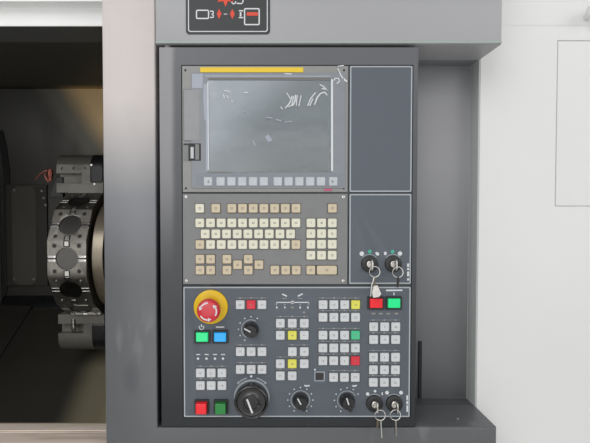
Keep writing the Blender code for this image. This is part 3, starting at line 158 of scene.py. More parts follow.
# The film's folds: their depth, the film's thickness, and waves across, up and their phase
fold_depth = 0.0005
film_thickness = 0.00012
fold_waves = ((31, 17, 0.3), (23, 41, 1.7), (57, 29, 2.9), (11, 47, 4.1))

# Screws near a unit's corners, as shares of its width and height
screw_left_share = 0.020
screw_right_share = 0.975
screw_top_share = 0.965

# Stop button: centre from the left and the top, as shares of the plate, and its arrows' sweep in degrees
stop_centre_shares = (0.122, 0.152)
stop_arrow_sweep = 62

# Turret: its stations count from the top towards the front
station_count = 12
held_stations = (0, 6)
open_stations = (2, 3)
disc_width = 0.111
disc_gap = 0.008
flange_radius = 0.170
flange_width = 0.032
station_bolt_x = 0.035
station_bolt_t = 0.0365
plug_rings = 15
holder_rise = 0.078
holder_radius = 0.046
holder_web = 0.018
collar_left = 0.0013

# Keys of the operator plate: left, top, keys across, keys down, and both pitches, as shares of the plate
operator_blocks_shares = (
    (0.232, 0.104, 3, 1, 0.0478, 0.098), (0.232, 0.462, 3, 1, 0.0478, 0.098),
    (0.232, 0.598, 3, 1, 0.0478, 0.098), (0.056, 0.625, 3, 2, 0.0476, 0.0965),
    (0.408, 0.245, 3, 2, 0.0526, 0.0920), (0.461, 0.462, 2, 1, 0.0526, 0.0920),
    (0.408, 0.5545, 3, 1, 0.0526, 0.0920), (0.408, 0.647, 2, 1, 0.0526, 0.0920),
    (0.5955, 0.104, 4, 2, 0.0476, 0.0958), (0.5955, 0.336, 4, 3, 0.0476, 0.0977),
    (0.643, 0.6585, 3, 1, 0.0476, 0.0977), (0.818, 0.272, 3, 2, 0.0485, 0.0973),
    (0.818, 0.5045, 3, 3, 0.0485, 0.0962))
operator_key = 0.0150
lit_keys = {
    (0, 1, 0): "red_key", (4, 1, 1): "yellow_key", (6, 1, 0): "yellow_key", (8, 3, 0): "yellow_key",
    (9, 3, 0): "green_key", (9, 3, 2): "red_key"}


# Forms

def centre_of(low, high):
    """The middle of a box from its two corners."""
    return [(a + b) / 2 for a, b in zip(low, high)]


def box_form(low, high):
    """A box from its two corners."""
    form = bmesh.new()
    bmesh.ops.create_cube(form, size=1)
    bmesh.ops.scale(form, vec=[b - a for a, b in zip(low, high)], verts=form.verts)
    bmesh.ops.translate(form, vec=centre_of(low, high), verts=form.verts)
    return form


def prism(outline, low, high, axis=1):
    """An outline of pairs, in the order of the two other axes, extruded along an axis."""
    form = bmesh.new()
    corners = []
    for pair in outline:
        place = list(pair)
        place.insert(axis, low)
        corners.append(form.verts.new(place))
    pulled = bmesh.ops.extrude_face_region(form, geom=[form.faces.new(corners)])["geom"]
    shift = [0, 0, 0]
    shift[axis] = high - low
    bmesh.ops.translate(form, vec=shift, verts=[v for v in pulled if isinstance(v, bmesh.types.BMVert)])
    bmesh.ops.recalc_face_normals(form, faces=form.faces)
    return form


def band(outer, inner, low, high, axis=1):
    """A closed ring between two loops of as many points, extruded along an axis."""
    form = bmesh.new()
    rings = []
    for loop, level in ((outer, low), (outer, high), (inner, high), (inner, low)):
        ring = []
        for pair in loop:
            place = list(pair)
            place.insert(axis, level)
            ring.append(form.verts.new(place))
        rings.append(ring)
    for ring, following in zip(rings, rings[1:] + rings[:1]):
        for i in range(len(ring)):
            j = (i + 1) % len(ring)
            form.faces.new((ring[i], ring[j], following[j], following[i]))
    bmesh.ops.recalc_face_normals(form, faces=form.faces)
    return form


def turned(profile, sides=48, ring=False):
    """A profile of pairs, along the X axis and out from it, spun round; a ring's profile is a loop."""
    form = bmesh.new()
    points = [form.verts.new((along, out, 0)) for along, out in profile]
    pairs = list(zip(points, points[1:]))
    if ring:
        pairs.append((points[-1], points[0]))
    edges = [form.edges.new(pair) for pair in pairs]
    bmesh.ops.spin(form, geom=points + edges, cent=(0, 0, 0), axis=(1, 0, 0), angle=math.tau,
                   steps=sides, use_merge=True)
    bmesh.ops.remove_doubles(form, verts=form.verts, dist=merge / 10)
    bmesh.ops.recalc_face_normals(form, faces=form.faces)
    return form


def tube_form(points, radius, sides=12, closed=False):
    """A round bar that follows a list of points."""
    form = bmesh.new()
    path = [Vector(p) for p in points]
    count = len(path)
    rings = []
    side = None
    for i, point in enumerate(path):
        before = path[(i - 1) % count] if closed or i else point
        after = path[(i + 1) % count] if closed or i < count - 1 else point
        along = (after - before).normalized()
        if side is None:
            side = along.orthogonal()
        side = (side - along * side.dot(along)).normalized()
        up = along.cross(side)
        ring = []
        for k in range(sides):
            angle = math.tau * k / sides
            ring.append(form.verts.new(point + (side * math.cos(angle) + up * math.sin(angle)) * radius))
        rings.append(ring)
    pairs = list(zip(rings, rings[1:]))
    if closed:
        pairs.append((rings[-1], rings[0]))
    for ring, following in pairs:
        for k in range(sides):
            j = (k + 1) % sides
            form.faces.new((ring[k], ring[j], following[j], following[k]))
    if not closed:
        form.faces.new(rings[0])
        form.faces.new(rings[-1])
    bmesh.ops.recalc_face_normals(form, faces=form.faces)
    return form


def moved(form, matrix):
    """A form carried by a matrix."""
    bmesh.ops.transform(form, matrix=matrix, verts=form.verts)
    return form


def facing(form, x, y, z):
    """A form whose X axis is turned to point to the front, and carried to a place."""
    return moved(form, Matrix.Translation((x, y, z)) @ Matrix.Rotation(-math.pi / 2, 4, "Z"))


def together(forms):
    """Several forms in one mesh."""
    whole = bmesh.new()
    for form in forms:
        mesh = bpy.data.meshes.new("set")
        form.to_mesh(mesh)
        form.free()
        whole.from_mesh(mesh)
        bpy.data.meshes.remove(mesh)
    return whole


def arc(centre, radius, start, end, steps):
    """Points of an arc, with its angles in degrees."""
    turns = [math.radians(start + (end - start) * i / steps) for i in range(steps + 1)]
    return [(centre[0] + radius * math.cos(a), centre[1] + radius * math.sin(a)) for a in turns]


def at_angle(centre, radius, degrees):
    """One point of a circle."""
    return arc(centre, radius, degrees, degrees, 1)[0]


def rounded(left, low, right, high, radius, steps=4):
    """Points of a rectangle with round corners."""
    points = []
    for x, z, start in ((right - radius, high - radius, 0), (left + radius, high - radius, 90),
                        (left + radius, low + radius, 180), (right - radius, low + radius, 270)):
        points += arc((x, z), radius, start, start + 90, steps)
    return points


def frame_loops(left, low, right, high, width, radius, inner_radius):
    """Two outlines with round corners, one of them a width inside the other."""
    return (rounded(left, low, right, high, radius),
            rounded(left + width, low + width, right - width, high - width, inner_radius))


def stroke(points, width):
    """The outline of a line of a given width through the points."""
    path = [Vector(p) for p in points]
    left = []
    right = []
    for i, point in enumerate(path):
        before = path[max(i - 1, 0)]
        after = path[min(i + 1, len(path) - 1)]
        along = (after - before).normalized()
        side = Vector((-along.y, along.x)) * width / 2
        left.append(tuple(point + side))
        right.append(tuple(point - side))
    return left + right[::-1]


# Node trees

class Value:
    """A number in a node tree; arithmetic on it adds Math nodes."""

    def __init__(self, nodes, socket):
        self.nodes = nodes
        self.socket = socket

    def __add__(self, other):
        return self.nodes.maths("ADD", self, other)

    def __sub__(self, other):
        return self.nodes.maths("SUBTRACT", self, other)

    def __rsub__(self, other):
        return self.nodes.maths("SUBTRACT", other, self)

    def __mul__(self, other):
        return self.nodes.maths("MULTIPLY", self, other)

    def __truediv__(self, other):
        return self.nodes.maths("DIVIDE", self, other)

    __radd__ = __add__
    __rmul__ = __mul__

    def smooth(self, low, high):
        """Nought below low, one above high and a soft step between them."""
        node = self.nodes.add("ShaderNodeMapRange", {"interpolation_type": "SMOOTHSTEP"},
                              {"Value": self, "From Min": low, "From Max": high})
        return Value(self.nodes, node.outputs["Result"])


class Nodes:
    """A node tree under construction; each call adds a node and sets or links its sockets."""

    def __init__(self, tree):
        self.tree = tree

    def add(self, kind, settings=None, sockets=None):
        node = self.tree.nodes.new(kind)
        for name, value in (settings or {}).items():
            if name == "stops":
                self.set_stops(node.color_ramp, value)
            else:
                setattr(node, name, value)
        for name, value in (sockets or {}).items():
            self.feed(node.inputs[name], value)
        return node

    def set_stops(self, ramp, stops):
        while len(ramp.elements) < len(stops):
            ramp.elements.new(1)
        for element, (place, colour) in zip(ramp.elements, stops):
            element.position = place
            element.color = linear(colour)

    def feed(self, socket, value):
        if isinstance(value, Value):
            value = value.socket
        if isinstance(value, bpy.types.NodeSocket):
            self.tree.links.new(value, socket)
        else:
            socket.default_value = value

    def maths(self, operation, *values):
        node = self.add("ShaderNodeMath", {"operation": operation}, dict(enumerate(values)))
        return Value(self, node.outputs[0])


finishes = {}


class Finish(Nodes):
    """One surface finish on a Principled shader; its patterns read Object coordinates."""

    def __init__(self, name, colour, roughness, **sockets):
        self.name = name
        self.material = bpy.data.materials.new(name)
        self.material.use_nodes = True
        super().__init__(self.material.node_tree)
        self.shader = self.tree.nodes["Principled BSDF"]
        self.colour = linear(colour)
        self.roughness = roughness
        self.height = None
        self.spot = self.add("ShaderNodeTexCoord").outputs["Object"]
        axes = self.add("ShaderNodeSeparateXYZ", None, {"Vector": self.spot})
        self.x, self.y, self.z = [Value(self, axes.outputs[name]) for name in "XYZ"]
        for name, value in sockets.items():
            self.shader.inputs[name.replace("_", " ").title()].default_value = value

    def at(self, place, stretch=(1, 1, 1)):
        sockets = {"Vector": self.spot, "Location": place, "Scale": stretch}
        return self.add("ShaderNodeMapping", None, sockets).outputs["Vector"]

    def noise(self, scale, detail=2, stretch=(1, 1, 1), place=(0, 0, 0)):
        node = self.add("ShaderNodeTexNoise", None,
                        {"Vector": self.at(place, stretch), "Scale": scale, "Detail": detail})
        return Value(self, node.outputs["Fac"])

    def tint(self, share, colour):
        """The colour moves towards another one by a share."""
        node = self.add("ShaderNodeMix", {"data_type": "RGBA"}, {0: share, 6: self.colour, 7: linear(colour)})
        self.colour = node.outputs[2]
        return self

    def graded(self, value, stops):
        """The colour follows a value through stops, each a level and a colour."""
        low = stops[0][0]
        span = stops[-1][0] - low
        shares = [((level - low) / span, colour) for level, colour in stops]
        node = self.add("ShaderNodeValToRGB", {"stops": shares}, {"Fac": (value - low) / span})
        self.colour = node.outputs["Color"]
        return self

    def rough(self, value):
        self.roughness = value
        return self

    def bump(self, height, distance):
        sockets = {"Height": height, "Distance": distance, "Strength": 1}
        if self.height is not None:
            sockets["Normal"] = self.height
        self.height = self.add("ShaderNodeBump", None, sockets).outputs["Normal"]
        return self

    def done(self):
        """The material, with its colour, roughness and bump linked, kept by its name."""
        self.feed(self.shader.inputs["Base Color"], self.colour)
        self.feed(self.shader.inputs["Roughness"], self.roughness)
        if self.height is not None:
            self.feed(self.shader.inputs["Normal"], self.height)
        finishes[self.name] = self.material
        return self.material


def linear(colour):
    """A colour written as it looks on a screen, as the shader's own numbers."""
    if isinstance(colour, bpy.types.NodeSocket):
        return colour
    return (*[c / 12.92 if c <= 0.04045 else ((c + 0.055) / 1.055) ** 2.4 for c in colour[:3]], 1)


# Finishes

# Where a finish changes, as spans on an axis
# The band's turned-in edge, which carries a painted shadow
band_fold_y = (-0.7842, -0.7830)
band_fold_z = (1.7115, 1.7125)
sill_edge = (-0.0045, -0.0035)
# The column's left side, with a painted highlight, and the niche's right side, painted lighter
column_side_x = (0.2752, 0.2768)
niche_side_x = (0.9722, 0.9728)
streak_fade_z = (1.14, 1.20)
# The panel box's left side, with a painted highlight
panel_side_x = (0.398, 0.410)
panel_side_z = (1.22, 1.50)
# The chamber: its lighter roof, and where its painted warm reflections lie
roof_z = (1.60, 1.75)
wall_top_z = (1.50, 1.58)
wall_back_y = (0.10, 0.17)
reflection_slope = (0.79, 0.88)
bright_reflection_slope = (0.88, 1.00)
apron_x = (-0.09, 0.01)
apron_z = (0.93, 1.0)
# The screen's painted shade at its foot and its painted sheen
screen_foot_z = (1.41, 1.54)
screen_foot_x = (0.49, 0.60)
screen_sheen = (-0.02, 0.10)

# The polished spot on the column: its middle and its reach, across and up
rub_middle = (0.322, 1.055)
rub_reach = (0.016, 0.034)

# Heights at which the paints' shades are set; these shades are painted light and shade
console_levels = (1.10, 1.22, 1.37, 1.53, 1.68)
header_levels = (1.64, 1.70, 1.90)
niche_levels = (0.98, 1.20, 1.45, 1.58, 1.64)
panel_levels = (1.00, 1.30, 1.64)

# Colours as they look on a screen, with a roughness for mouldings and a painted glow for lenses
moulded_finishes = (
    ("step_grey", (0.55, 0.565, 0.59), 0.38), ("strip_grey", (0.53, 0.55, 0.585), 0.38),
    ("cover_grey", (0.60, 0.605, 0.615), 0.40), ("dark_well", (0.16, 0.15, 0.15), 0.6),
    ("black_moulding", (0.11, 0.11, 0.115), 0.42), ("pale_tab", (0.66, 0.685, 0.735), 0.35),
    ("stop_yellow", (0.95, 0.78, 0.05), 0.32), ("rubber", (0.08, 0.08, 0.08), 0.7))
key_finishes = (
    ("soft_key", (0.79, 0.81, 0.83)), ("yellow_key", (0.94, 0.92, 0.38)), ("red_key", (0.90, 0.20, 0.27)),
    ("green_key", (0.30, 0.80, 0.58)))
# Print colours; edge_shine is a painted highlight
print_finishes = (
    ("white_print", (0.90, 0.91, 0.92)), ("soft_print", (0.60, 0.58, 0.56)),
    ("edge_shine", (0.66, 0.72, 0.69)), ("pale_print", (0.70, 0.73, 0.75)),
    ("grey_print", (0.46, 0.45, 0.43)), ("red_print", (0.90, 0.30, 0.20)),
    ("pink_print", (0.82, 0.36, 0.50)), ("mint_print", (0.28, 0.72, 0.60)),
    ("yellow_print", (0.96, 0.82, 0.22)), ("black_print", (0.17, 0.18, 0.185)))
lens_finishes = (
    ("stop_red", (0.82, 0.13, 0.21), 0.08), ("lamp_green", (0.08, 0.86, 0.52), 0.35),
    ("lamp_blue", (0.02, 0.64, 0.92), 0.35), ("lamp_red", (0.91, 0.10, 0.15), 0.25),
    ("deep_green", (0.10, 0.52, 0.22), 0.1))


def painted(name, colour, roughness, peel=1, cloud=0.03, stops=(), **sockets):
    """Powder-coated sheet: a fine orange peel, broad soft clouds and a few rubbed places; stops paint light
    and shade into it by height.
    """
    made = Finish(name, colour, roughness, **sockets)
    soft = made.noise(2.2, 3)
    # Stops grade the colour by height: painted light and shade
    if stops:
        made.graded(made.z + (soft - 0.5) * 0.10, stops)
    made.tint(soft.smooth(0.35, 0.75) * cloud * 4, [c * 0.82 for c in colour])
    rubbed = made.noise(14, 4, place=(3, 1, 2)).smooth(0.55, 0.8)
    made.tint(rubbed * cloud * 3, [min(1, c * 1.12) for c in colour])
    made.rough(roughness - 0.06 + made.noise(9, 3, place=(1, 7, 3)) * 0.12)
    return made.bump(made.noise(1400, 2), 0.000012 * peel)


def finish_sill_paint(colours):
    """Pale paint whose flat top under the door is rubbed and brown with old coolant."""
    made = painted("sill_paint", colours.pale_paint, 0.38, cloud=0.02)
    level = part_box("lower_front_cover")[1].z
    top = made.z.smooth(*[level + edge for edge in sill_edge])
    made.tint(top, (0.895, 0.830, 0.775))
    stain = made.noise(9, 4, stretch=(0.6, 4, 1)).smooth(0.50, 0.70)
    made.tint(stain * top * 0.5, (0.66, 0.58, 0.51)).done()


def finish_band_paint(colours):
    """Pale paint made lighter as painted light, with a painted shadow on its turned-in edge over the chamber.
    """
    # Painted light: the band's paint is lighter than the covers'
    made = painted("band_paint", [c * 1.05 for c in colours.pale_paint], 0.38, cloud=0.01)
    # Painted shadow in the turned-in edge
    inside = made.y.smooth(*band_fold_y) * (1 - made.z.smooth(*band_fold_z))
    made.tint(inside * 0.93, (0.24, 0.24, 0.225)).done()


def finish_console_paint(name, stops, rub_depth=0.0, far_side=0.0):
    """Satin grey sheet, lighter in streaks where hands and cloths have polished it, with one dull soft spot,
    and painted highlights on the column's left side and the niche's right side.
    """
    made = painted(name, stops[0][1], 0.42, peel=1.2, stops=stops, Coat_Weight=0.1, Coat_Roughness=0.3)
    if rub_depth:
        x = (made.x - rub_middle[0]) / rub_reach[0]
        z = (made.z - rub_middle[1]) / rub_reach[1]
        spot = 1 - made.maths("SQRT", x * x + z * z).smooth(0.25, 1.3)
        made.tint(spot * rub_depth, (0.26, 0.27, 0.29))
        streak = made.noise(22, 3, stretch=(1, 1, 0.25), place=(1, 0, 4)).smooth(0.62, 0.72)
        made.tint(streak * (1 - made.z.smooth(*streak_fade_z)) * 0.12, (0.75, 0.76, 0.78))
        # Painted highlight on the column's left side
        made.tint((1 - made.x.smooth(*column_side_x)) * 0.6, (0.80, 0.82, 0.86))
    if far_side:
        # Painted light on the niche's right side wall
        made.tint(made.x.smooth(*niche_side_x) * far_side, (0.80, 0.81, 0.805))
    made.done()


def finish_panel_paint(colours):
    """Charcoal paint, painted paler towards the top as painted light, with a painted highlight on its left
    edge.
    """
    shades = (colours.panel_low, colours.panel_middle, colours.panel_high)
    made = painted("panel_paint", colours.panel_low, 0.40, peel=1.2, stops=list(zip(panel_levels, shades)))
    # Painted highlight on the left edge, above the middle
    edge = 1 - (made.x + made.noise(6, 2) * 0.01).smooth(*panel_side_x)
    made.tint(edge * made.z.smooth(*panel_side_z) * 0.9, (0.60, 0.595, 0.605)).done()


def finish_paints(colours):
    """The powder coats: pale covers, and greys with painted light and shade that change with height."""
    painted("pale_paint", colours.pale_paint, 0.38, cloud=0.02).done()
    painted("cast_paint", (0.50, 0.52, 0.53), 0.45, peel=4, cloud=0.06).done()
    finish_sill_paint(colours)
    finish_band_paint(colours)
    finish_panel_paint(colours)
    # Console painted lighter towards the top, as painted light
    low, middle, high = colours.console_low, colours.console_middle, colours.console_high
    finish_console_paint("console_paint", list(zip(console_levels, (low, low, middle, high, high))), 0.4)
    # Header painted darker towards its top, as painted shade
    header = (colours.header_paint, colours.header_paint, low)
    finish_console_paint("header_paint", list(zip(header_levels, header)))
    # Niche painted darker near the ledge and under the header, as painted shade
    low, middle, high = colours.niche_low, colours.niche_middle, colours.niche_high
    finish_console_paint("niche_paint", list(zip(niche_levels, (low, middle, high, high, middle))), 0, 0.8)


def finish_slate_film(colour):
    """A printed film: an even colour with a fine leathery grain and faint wipe marks."""
    made = Finish("slate_film", colour, 0.45)
    made.tint(made.noise(5, 3).smooth(0.4, 0.7) * 0.25, [c * 0.9 for c in colour])
    wiped = made.noise(30, 4, stretch=(0.3, 1, 2)).smooth(0.6, 0.8)
    made.tint(wiped * 0.12, [min(1, c * 1.2) for c in colour])
    made.rough(0.45 + made.noise(12, 3) * 0.1)
    made.bump(made.noise(900, 2), 0.00001).done()


def finish_moulded(name, colour, roughness, **sockets):
    """Moulded plastic: a fine spark-eroded grain and a slight change of shade."""
    made = Finish(name, colour, roughness, **sockets)
    made.tint(made.noise(60, 3).smooth(0.45, 0.75) * 0.16, [c * 0.86 for c in colour])
    made.rough(roughness - 0.05 + made.noise(40, 3) * 0.1)
    made.bump(made.noise(2500, 2), 0.000006).done()


def finish_key(name, colour):
    """A key cap: its shade varies a little from key to key, and its edges hold some dust."""
    made = Finish(name, colour, 0.42)
    cell = made.add("ShaderNodeTexWhiteNoise", {"noise_dimensions": "3D"},
                    {"Vector": made.add("ShaderNodeVectorMath", {"operation": "SNAP"},
                                        {0: made.spot, 1: (0.0094, 1, 0.0094)}).outputs[0]})
    made.tint(Value(made, cell.outputs["Value"]) * 0.18, [c * 0.88 for c in colour])
    made.tint(made.noise(120, 3).smooth(0.5, 0.8) * 0.2, [c * 0.9 for c in colour])
    made.bump(made.noise(3000, 2), 0.000004).done()


def finish_metal(name, colour, roughness, grain=(1, 1, 1), scale=300, stain=0.25, bare=1):
    """Machined metal: fine lines along one way, with stains; bare is how much of it is clean metal."""
    made = Finish(name, colour, roughness, Metallic=bare)
    lines = made.noise(scale, 3, stretch=grain)
    made.tint(lines.smooth(0.3, 0.7) * 0.22, [c * 0.75 for c in colour])
    cloud = made.noise(14, 4, place=(5, 3, 1)).smooth(0.45, 0.75)
    made.tint(cloud * stain, [colour[0] * 0.55, colour[1] * 0.52, colour[2] * 0.46])
    made.rough(roughness + cloud * 0.18 + lines * 0.06)
    made.bump(lines, 0.00001).done()


def finish_print(name, colour):
    """Printing ink, a little uneven."""
    made = Finish(name, colour, 0.5)
    made.tint(made.noise(400, 2).smooth(0.4, 0.8) * 0.15, [c * 0.85 for c in colour]).done()


def finish_lens(name, colour, glow):
    """A lens of coloured plastic with a painted glow, a little brighter than its paint would be."""
    made = Finish(name, colour, 0.28, Coat_Weight=0.4)
    made.tint(made.noise(90, 2).smooth(0.3, 0.8) * 0.2, [c * 0.85 for c in colour])
    # Painted glow
    made.shader.inputs["Emission Color"].default_value = linear(colour)
    made.shader.inputs["Emission Strength"].default_value = glow
    made.done()


def finish_metals():
    """The steels, copper and brass."""
    finish_metal("bright_steel", (0.86, 0.85, 0.83), 0.22, stain=0.1)
    finish_metal("turned_steel", (0.66, 0.65, 0.62), 0.32, grain=(0.08, 1, 1))
    finish_metal("disc_steel", (0.58, 0.565, 0.54), 0.40, grain=(1, 0.06, 0.06), stain=0.12)
    finish_metal("plug_steel", (0.40, 0.395, 0.385), 0.30, scale=120, stain=0.1)
    finish_metal("holder_steel", (0.50, 0.49, 0.46), 0.40, scale=160, stain=0.2, bare=0.25)
    finish_metal("flange_steel", (0.62, 0.58, 0.51), 0.30, grain=(1, 0.05, 0.05), stain=0.5, bare=0.45)
    finish_metal("oxide_steel", (0.27, 0.265, 0.25), 0.36, scale=160, stain=0.3, bare=0.4)
    finish_metal("copper", (0.78, 0.48, 0.42), 0.28, stain=0.3)
    finish_metal("brass", (0.46, 0.42, 0.33), 0.35, stain=0.4, bare=0.5)


def make_finishes(colours):
    """Every finish of the machine."""
    finish_paints(colours)
    finish_slate_film(colours.slate_film)
    finish_moulded("unit_grey", colours.unit_grey, 0.45)
    finish_moulded("display_grey", colours.display_grey, 0.42)
    finish_moulded("black_gloss", (0.07, 0.07, 0.075), 0.16, Coat_Weight=0.6)
    for name, colour, roughness in moulded_finishes:
        finish_moulded(name, colour, roughness)
    for name in ("ivory_key", "tan_key", "white_key"):
        finish_key(name, getattr(colours, name))
    for name, colour in key_finishes:
        finish_key(name, colour)
    for name, colour in print_finishes:
        finish_print(name, colour)
    for name, colour, glow in lens_finishes:
        finish_lens(name, colour, glow)
    finish_metals()
    finish_chamber()
    finish_guard()
    finish_sill()
    finish_screen()
    finish_wrap()
    finish_window()


def finish_chamber():
    """Dark oiled sheet round the work space, lighter under the roof, with painted warm reflections on the
    upper back wall and low on the right.
    """
    made = Finish("chamber_steel", (0.240, 0.233, 0.213), 0.36, Metallic=0.2)
    made.tint(made.noise(3, 4, place=(2, 2, 2)).smooth(0.35, 0.75) * 0.4, (0.165, 0.16, 0.148))
    slope = made.x + made.z * 0.64 + made.noise(4, 2) * 0.03 - 0.015
    wall = made.z.smooth(*wall_top_z) * made.y.smooth(*wall_back_y)
    # Lighter under the roof
    made.tint(made.z.smooth(*roof_z) * (1 - made.y.smooth(*wall_back_y)), (0.40, 0.39, 0.36))
    # Painted warm reflection on the upper back wall, in two steps
    made.tint(slope.smooth(*reflection_slope) * wall * 0.9, (0.42, 0.405, 0.36))
    made.tint(slope.smooth(*bright_reflection_slope) * wall * 0.9, (0.93, 0.79, 0.57))
    # Painted warm reflection low on the right
    low = made.x.smooth(*apron_x) * (1 - made.z.smooth(*apron_z))
    made.tint(low * 0.8, (0.62, 0.59, 0.49))
    made.rough(0.32 + made.noise(16, 4, stretch=(1, 1, 0.4)) * 0.2)
    made.bump(made.noise(220, 3), 0.00004).done()


def finish_guard():
    """The guard plate on the back wall, a little lighter and worn smooth."""
    made = Finish("guard_steel", (0.35, 0.335, 0.305), 0.40, Metallic=0.15)
    made.tint(made.noise(5, 3).smooth(0.35, 0.7) * 0.35, (0.235, 0.225, 0.21))
    made.tint(made.noise(40, 3, stretch=(1, 1, 0.2)).smooth(0.6, 0.75) * 0.25, (0.36, 0.35, 0.33))
    made.bump(made.noise(260, 3), 0.00003).done()


def finish_sill():
    """The rail under the door: bare steel rubbed bright on its edges and stained brown by coolant."""
    made = Finish("sill_steel", (0.96, 0.90, 0.845), 0.38, Metallic=0.05)
    made.tint(made.noise(7, 4, stretch=(0.6, 4, 1)).smooth(0.42, 0.7) * 0.6, (0.80, 0.735, 0.64))
    made.tint(made.noise(60, 4, stretch=(0.5, 2, 1)).smooth(0.66, 0.74) * 0.55, (0.52, 0.42, 0.32))
    made.rough(0.3 + made.noise(30, 3) * 0.25)
    made.bump(made.noise(500, 3, stretch=(0.1, 1, 1)), 0.00002).done()


def finish_screen():
    """The panel of the screen behind its glass, unlit, with painted shade towards the lower right and a
    painted cool sheen towards one corner.
    """
    made = Finish("screen_glass", (0.375, 0.415, 0.430), 0.12, Coat_Weight=0.6, Coat_Roughness=0.05)
    made.tint(made.noise(9, 2, place=(4, 0, 2)).smooth(0.35, 0.75) * 0.35, (0.46, 0.495, 0.51))
    corner = 1 - (made.x - made.z + made.noise(12, 2) * 0.03 + 1.02).smooth(*screen_sheen)
    foot = (1 - made.z.smooth(*screen_foot_z)) * made.x.smooth(*screen_foot_x)
    # Painted shade towards the lower right
    made.tint(foot * 0.95, (0.13, 0.165, 0.18))
    # Painted cool sheen towards the upper left
    made.tint(corner * 0.75, (0.70, 0.735, 0.77)).done()


def finish_wrap():
    """Clear film with soft folds."""
    made = Finish("screen_film", (0.86, 0.90, 0.92), 0.10, Coat_Weight=0.5)
    made.shader.inputs["Alpha"].default_value = 0.10
    made.bump(made.noise(60, 3, stretch=(1, 1, 0.5)), 0.0004).done()


def finish_window():
    """Clear pane with faint smears."""
    made = Finish("window_glass", (0.80, 0.86, 0.86), 0.04, Coat_Weight=0.5)
    made.shader.inputs["Alpha"].default_value = 0.30
    made.rough(0.03 + made.noise(5, 3).smooth(0.4, 0.8) * 0.06).done()


# Pieces

def linked(name, data):
    """A new object in the scene."""
    thing = bpy.data.objects.new(name, data)
    bpy.context.scene.collection.objects.link(thing)
    return thing


def piece(name, form, finish, body, bevel=0, segments=2):
    """A finished piece that rides on a body; its edges are rounded when a bevel is given."""
    mesh = bpy.data.meshes.new(name)
    bmesh.ops.remove_doubles(form, verts=form.verts, dist=merge)
    form.to_mesh(mesh)
    form.free()
    mesh.materials.clear()
    mesh.materials.append(finishes[finish])
    thing = linked(name, mesh)
    if bevel:
        step = thing.modifiers.new("Round edges", "BEVEL")
        step.width = bevel
        step.segments = segments
        step.limit_method = "ANGLE"
        step.angle_limit = smooth_angle
    mesh.shade_smooth()
    mesh.set_sharp_from_angle(angle=smooth_angle)
    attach(thing, body)
    return thing


def refined(node, finish, body, bevel=0, segments=2):
    """A merged copy of a CAD node with rounded edges, which stands for that node."""
    form = bmesh.new()
    form.from_mesh(bpy.data.objects[node].data)
    bmesh.ops.remove_doubles(form, verts=form.verts, dist=merge)
    bmesh.ops.dissolve_limit(form, angle_limit=flat_angle, verts=form.verts, edges=form.edges)
    thing = piece(f"{node}_finished", form, finish, body, bevel, segments)
    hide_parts(node)


def coat(node, finish):
    """A CAD node whose shape is right gets its finish."""
    mesh = bpy.data.objects[node].data
    mesh.materials.clear()
    mesh.materials.append(finishes[finish])


def repeated(name, tree, points, finish, body, slot, wide=None, turns=None, **inputs):
    """A Geometry Nodes tree run on points, each with its widths and its turn, made a plain mesh."""
    mesh = bpy.data.meshes.new(name)
    mesh.from_pydata(points, [], [])
    vectors = {"wide": wide or [(1, 1, 1)] * len(points), "turn": turns or [(0, 0, 0)] * len(points)}
    for label, values in vectors.items():
        field = mesh.attributes.new(label, "FLOAT_VECTOR", "POINT")
        for i, value in enumerate(values):
            field.data[i].vector = value
    carrier = linked(name + "_points", mesh)
    step = carrier.modifiers.new("Repeat", "NODES")
    step.node_group = tree
    keys = {item.name: item.identifier for item in tree.interface.items_tree if item.in_out == "INPUT"}
    for label, value in inputs.items():
        step[keys[label]] = value
    step[keys["material"]] = finishes[finish]
    graph = bpy.context.evaluated_depsgraph_get()
    made = bpy.data.meshes.new_from_object(carrier.evaluated_get(graph))
    carrier.modifiers.remove(step)
    bpy.data.objects.remove(carrier)
    made.name = name
    made.set_sharp_from_angle(angle=repeat_angle)
    thing = linked(name, made)
    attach(thing, body)


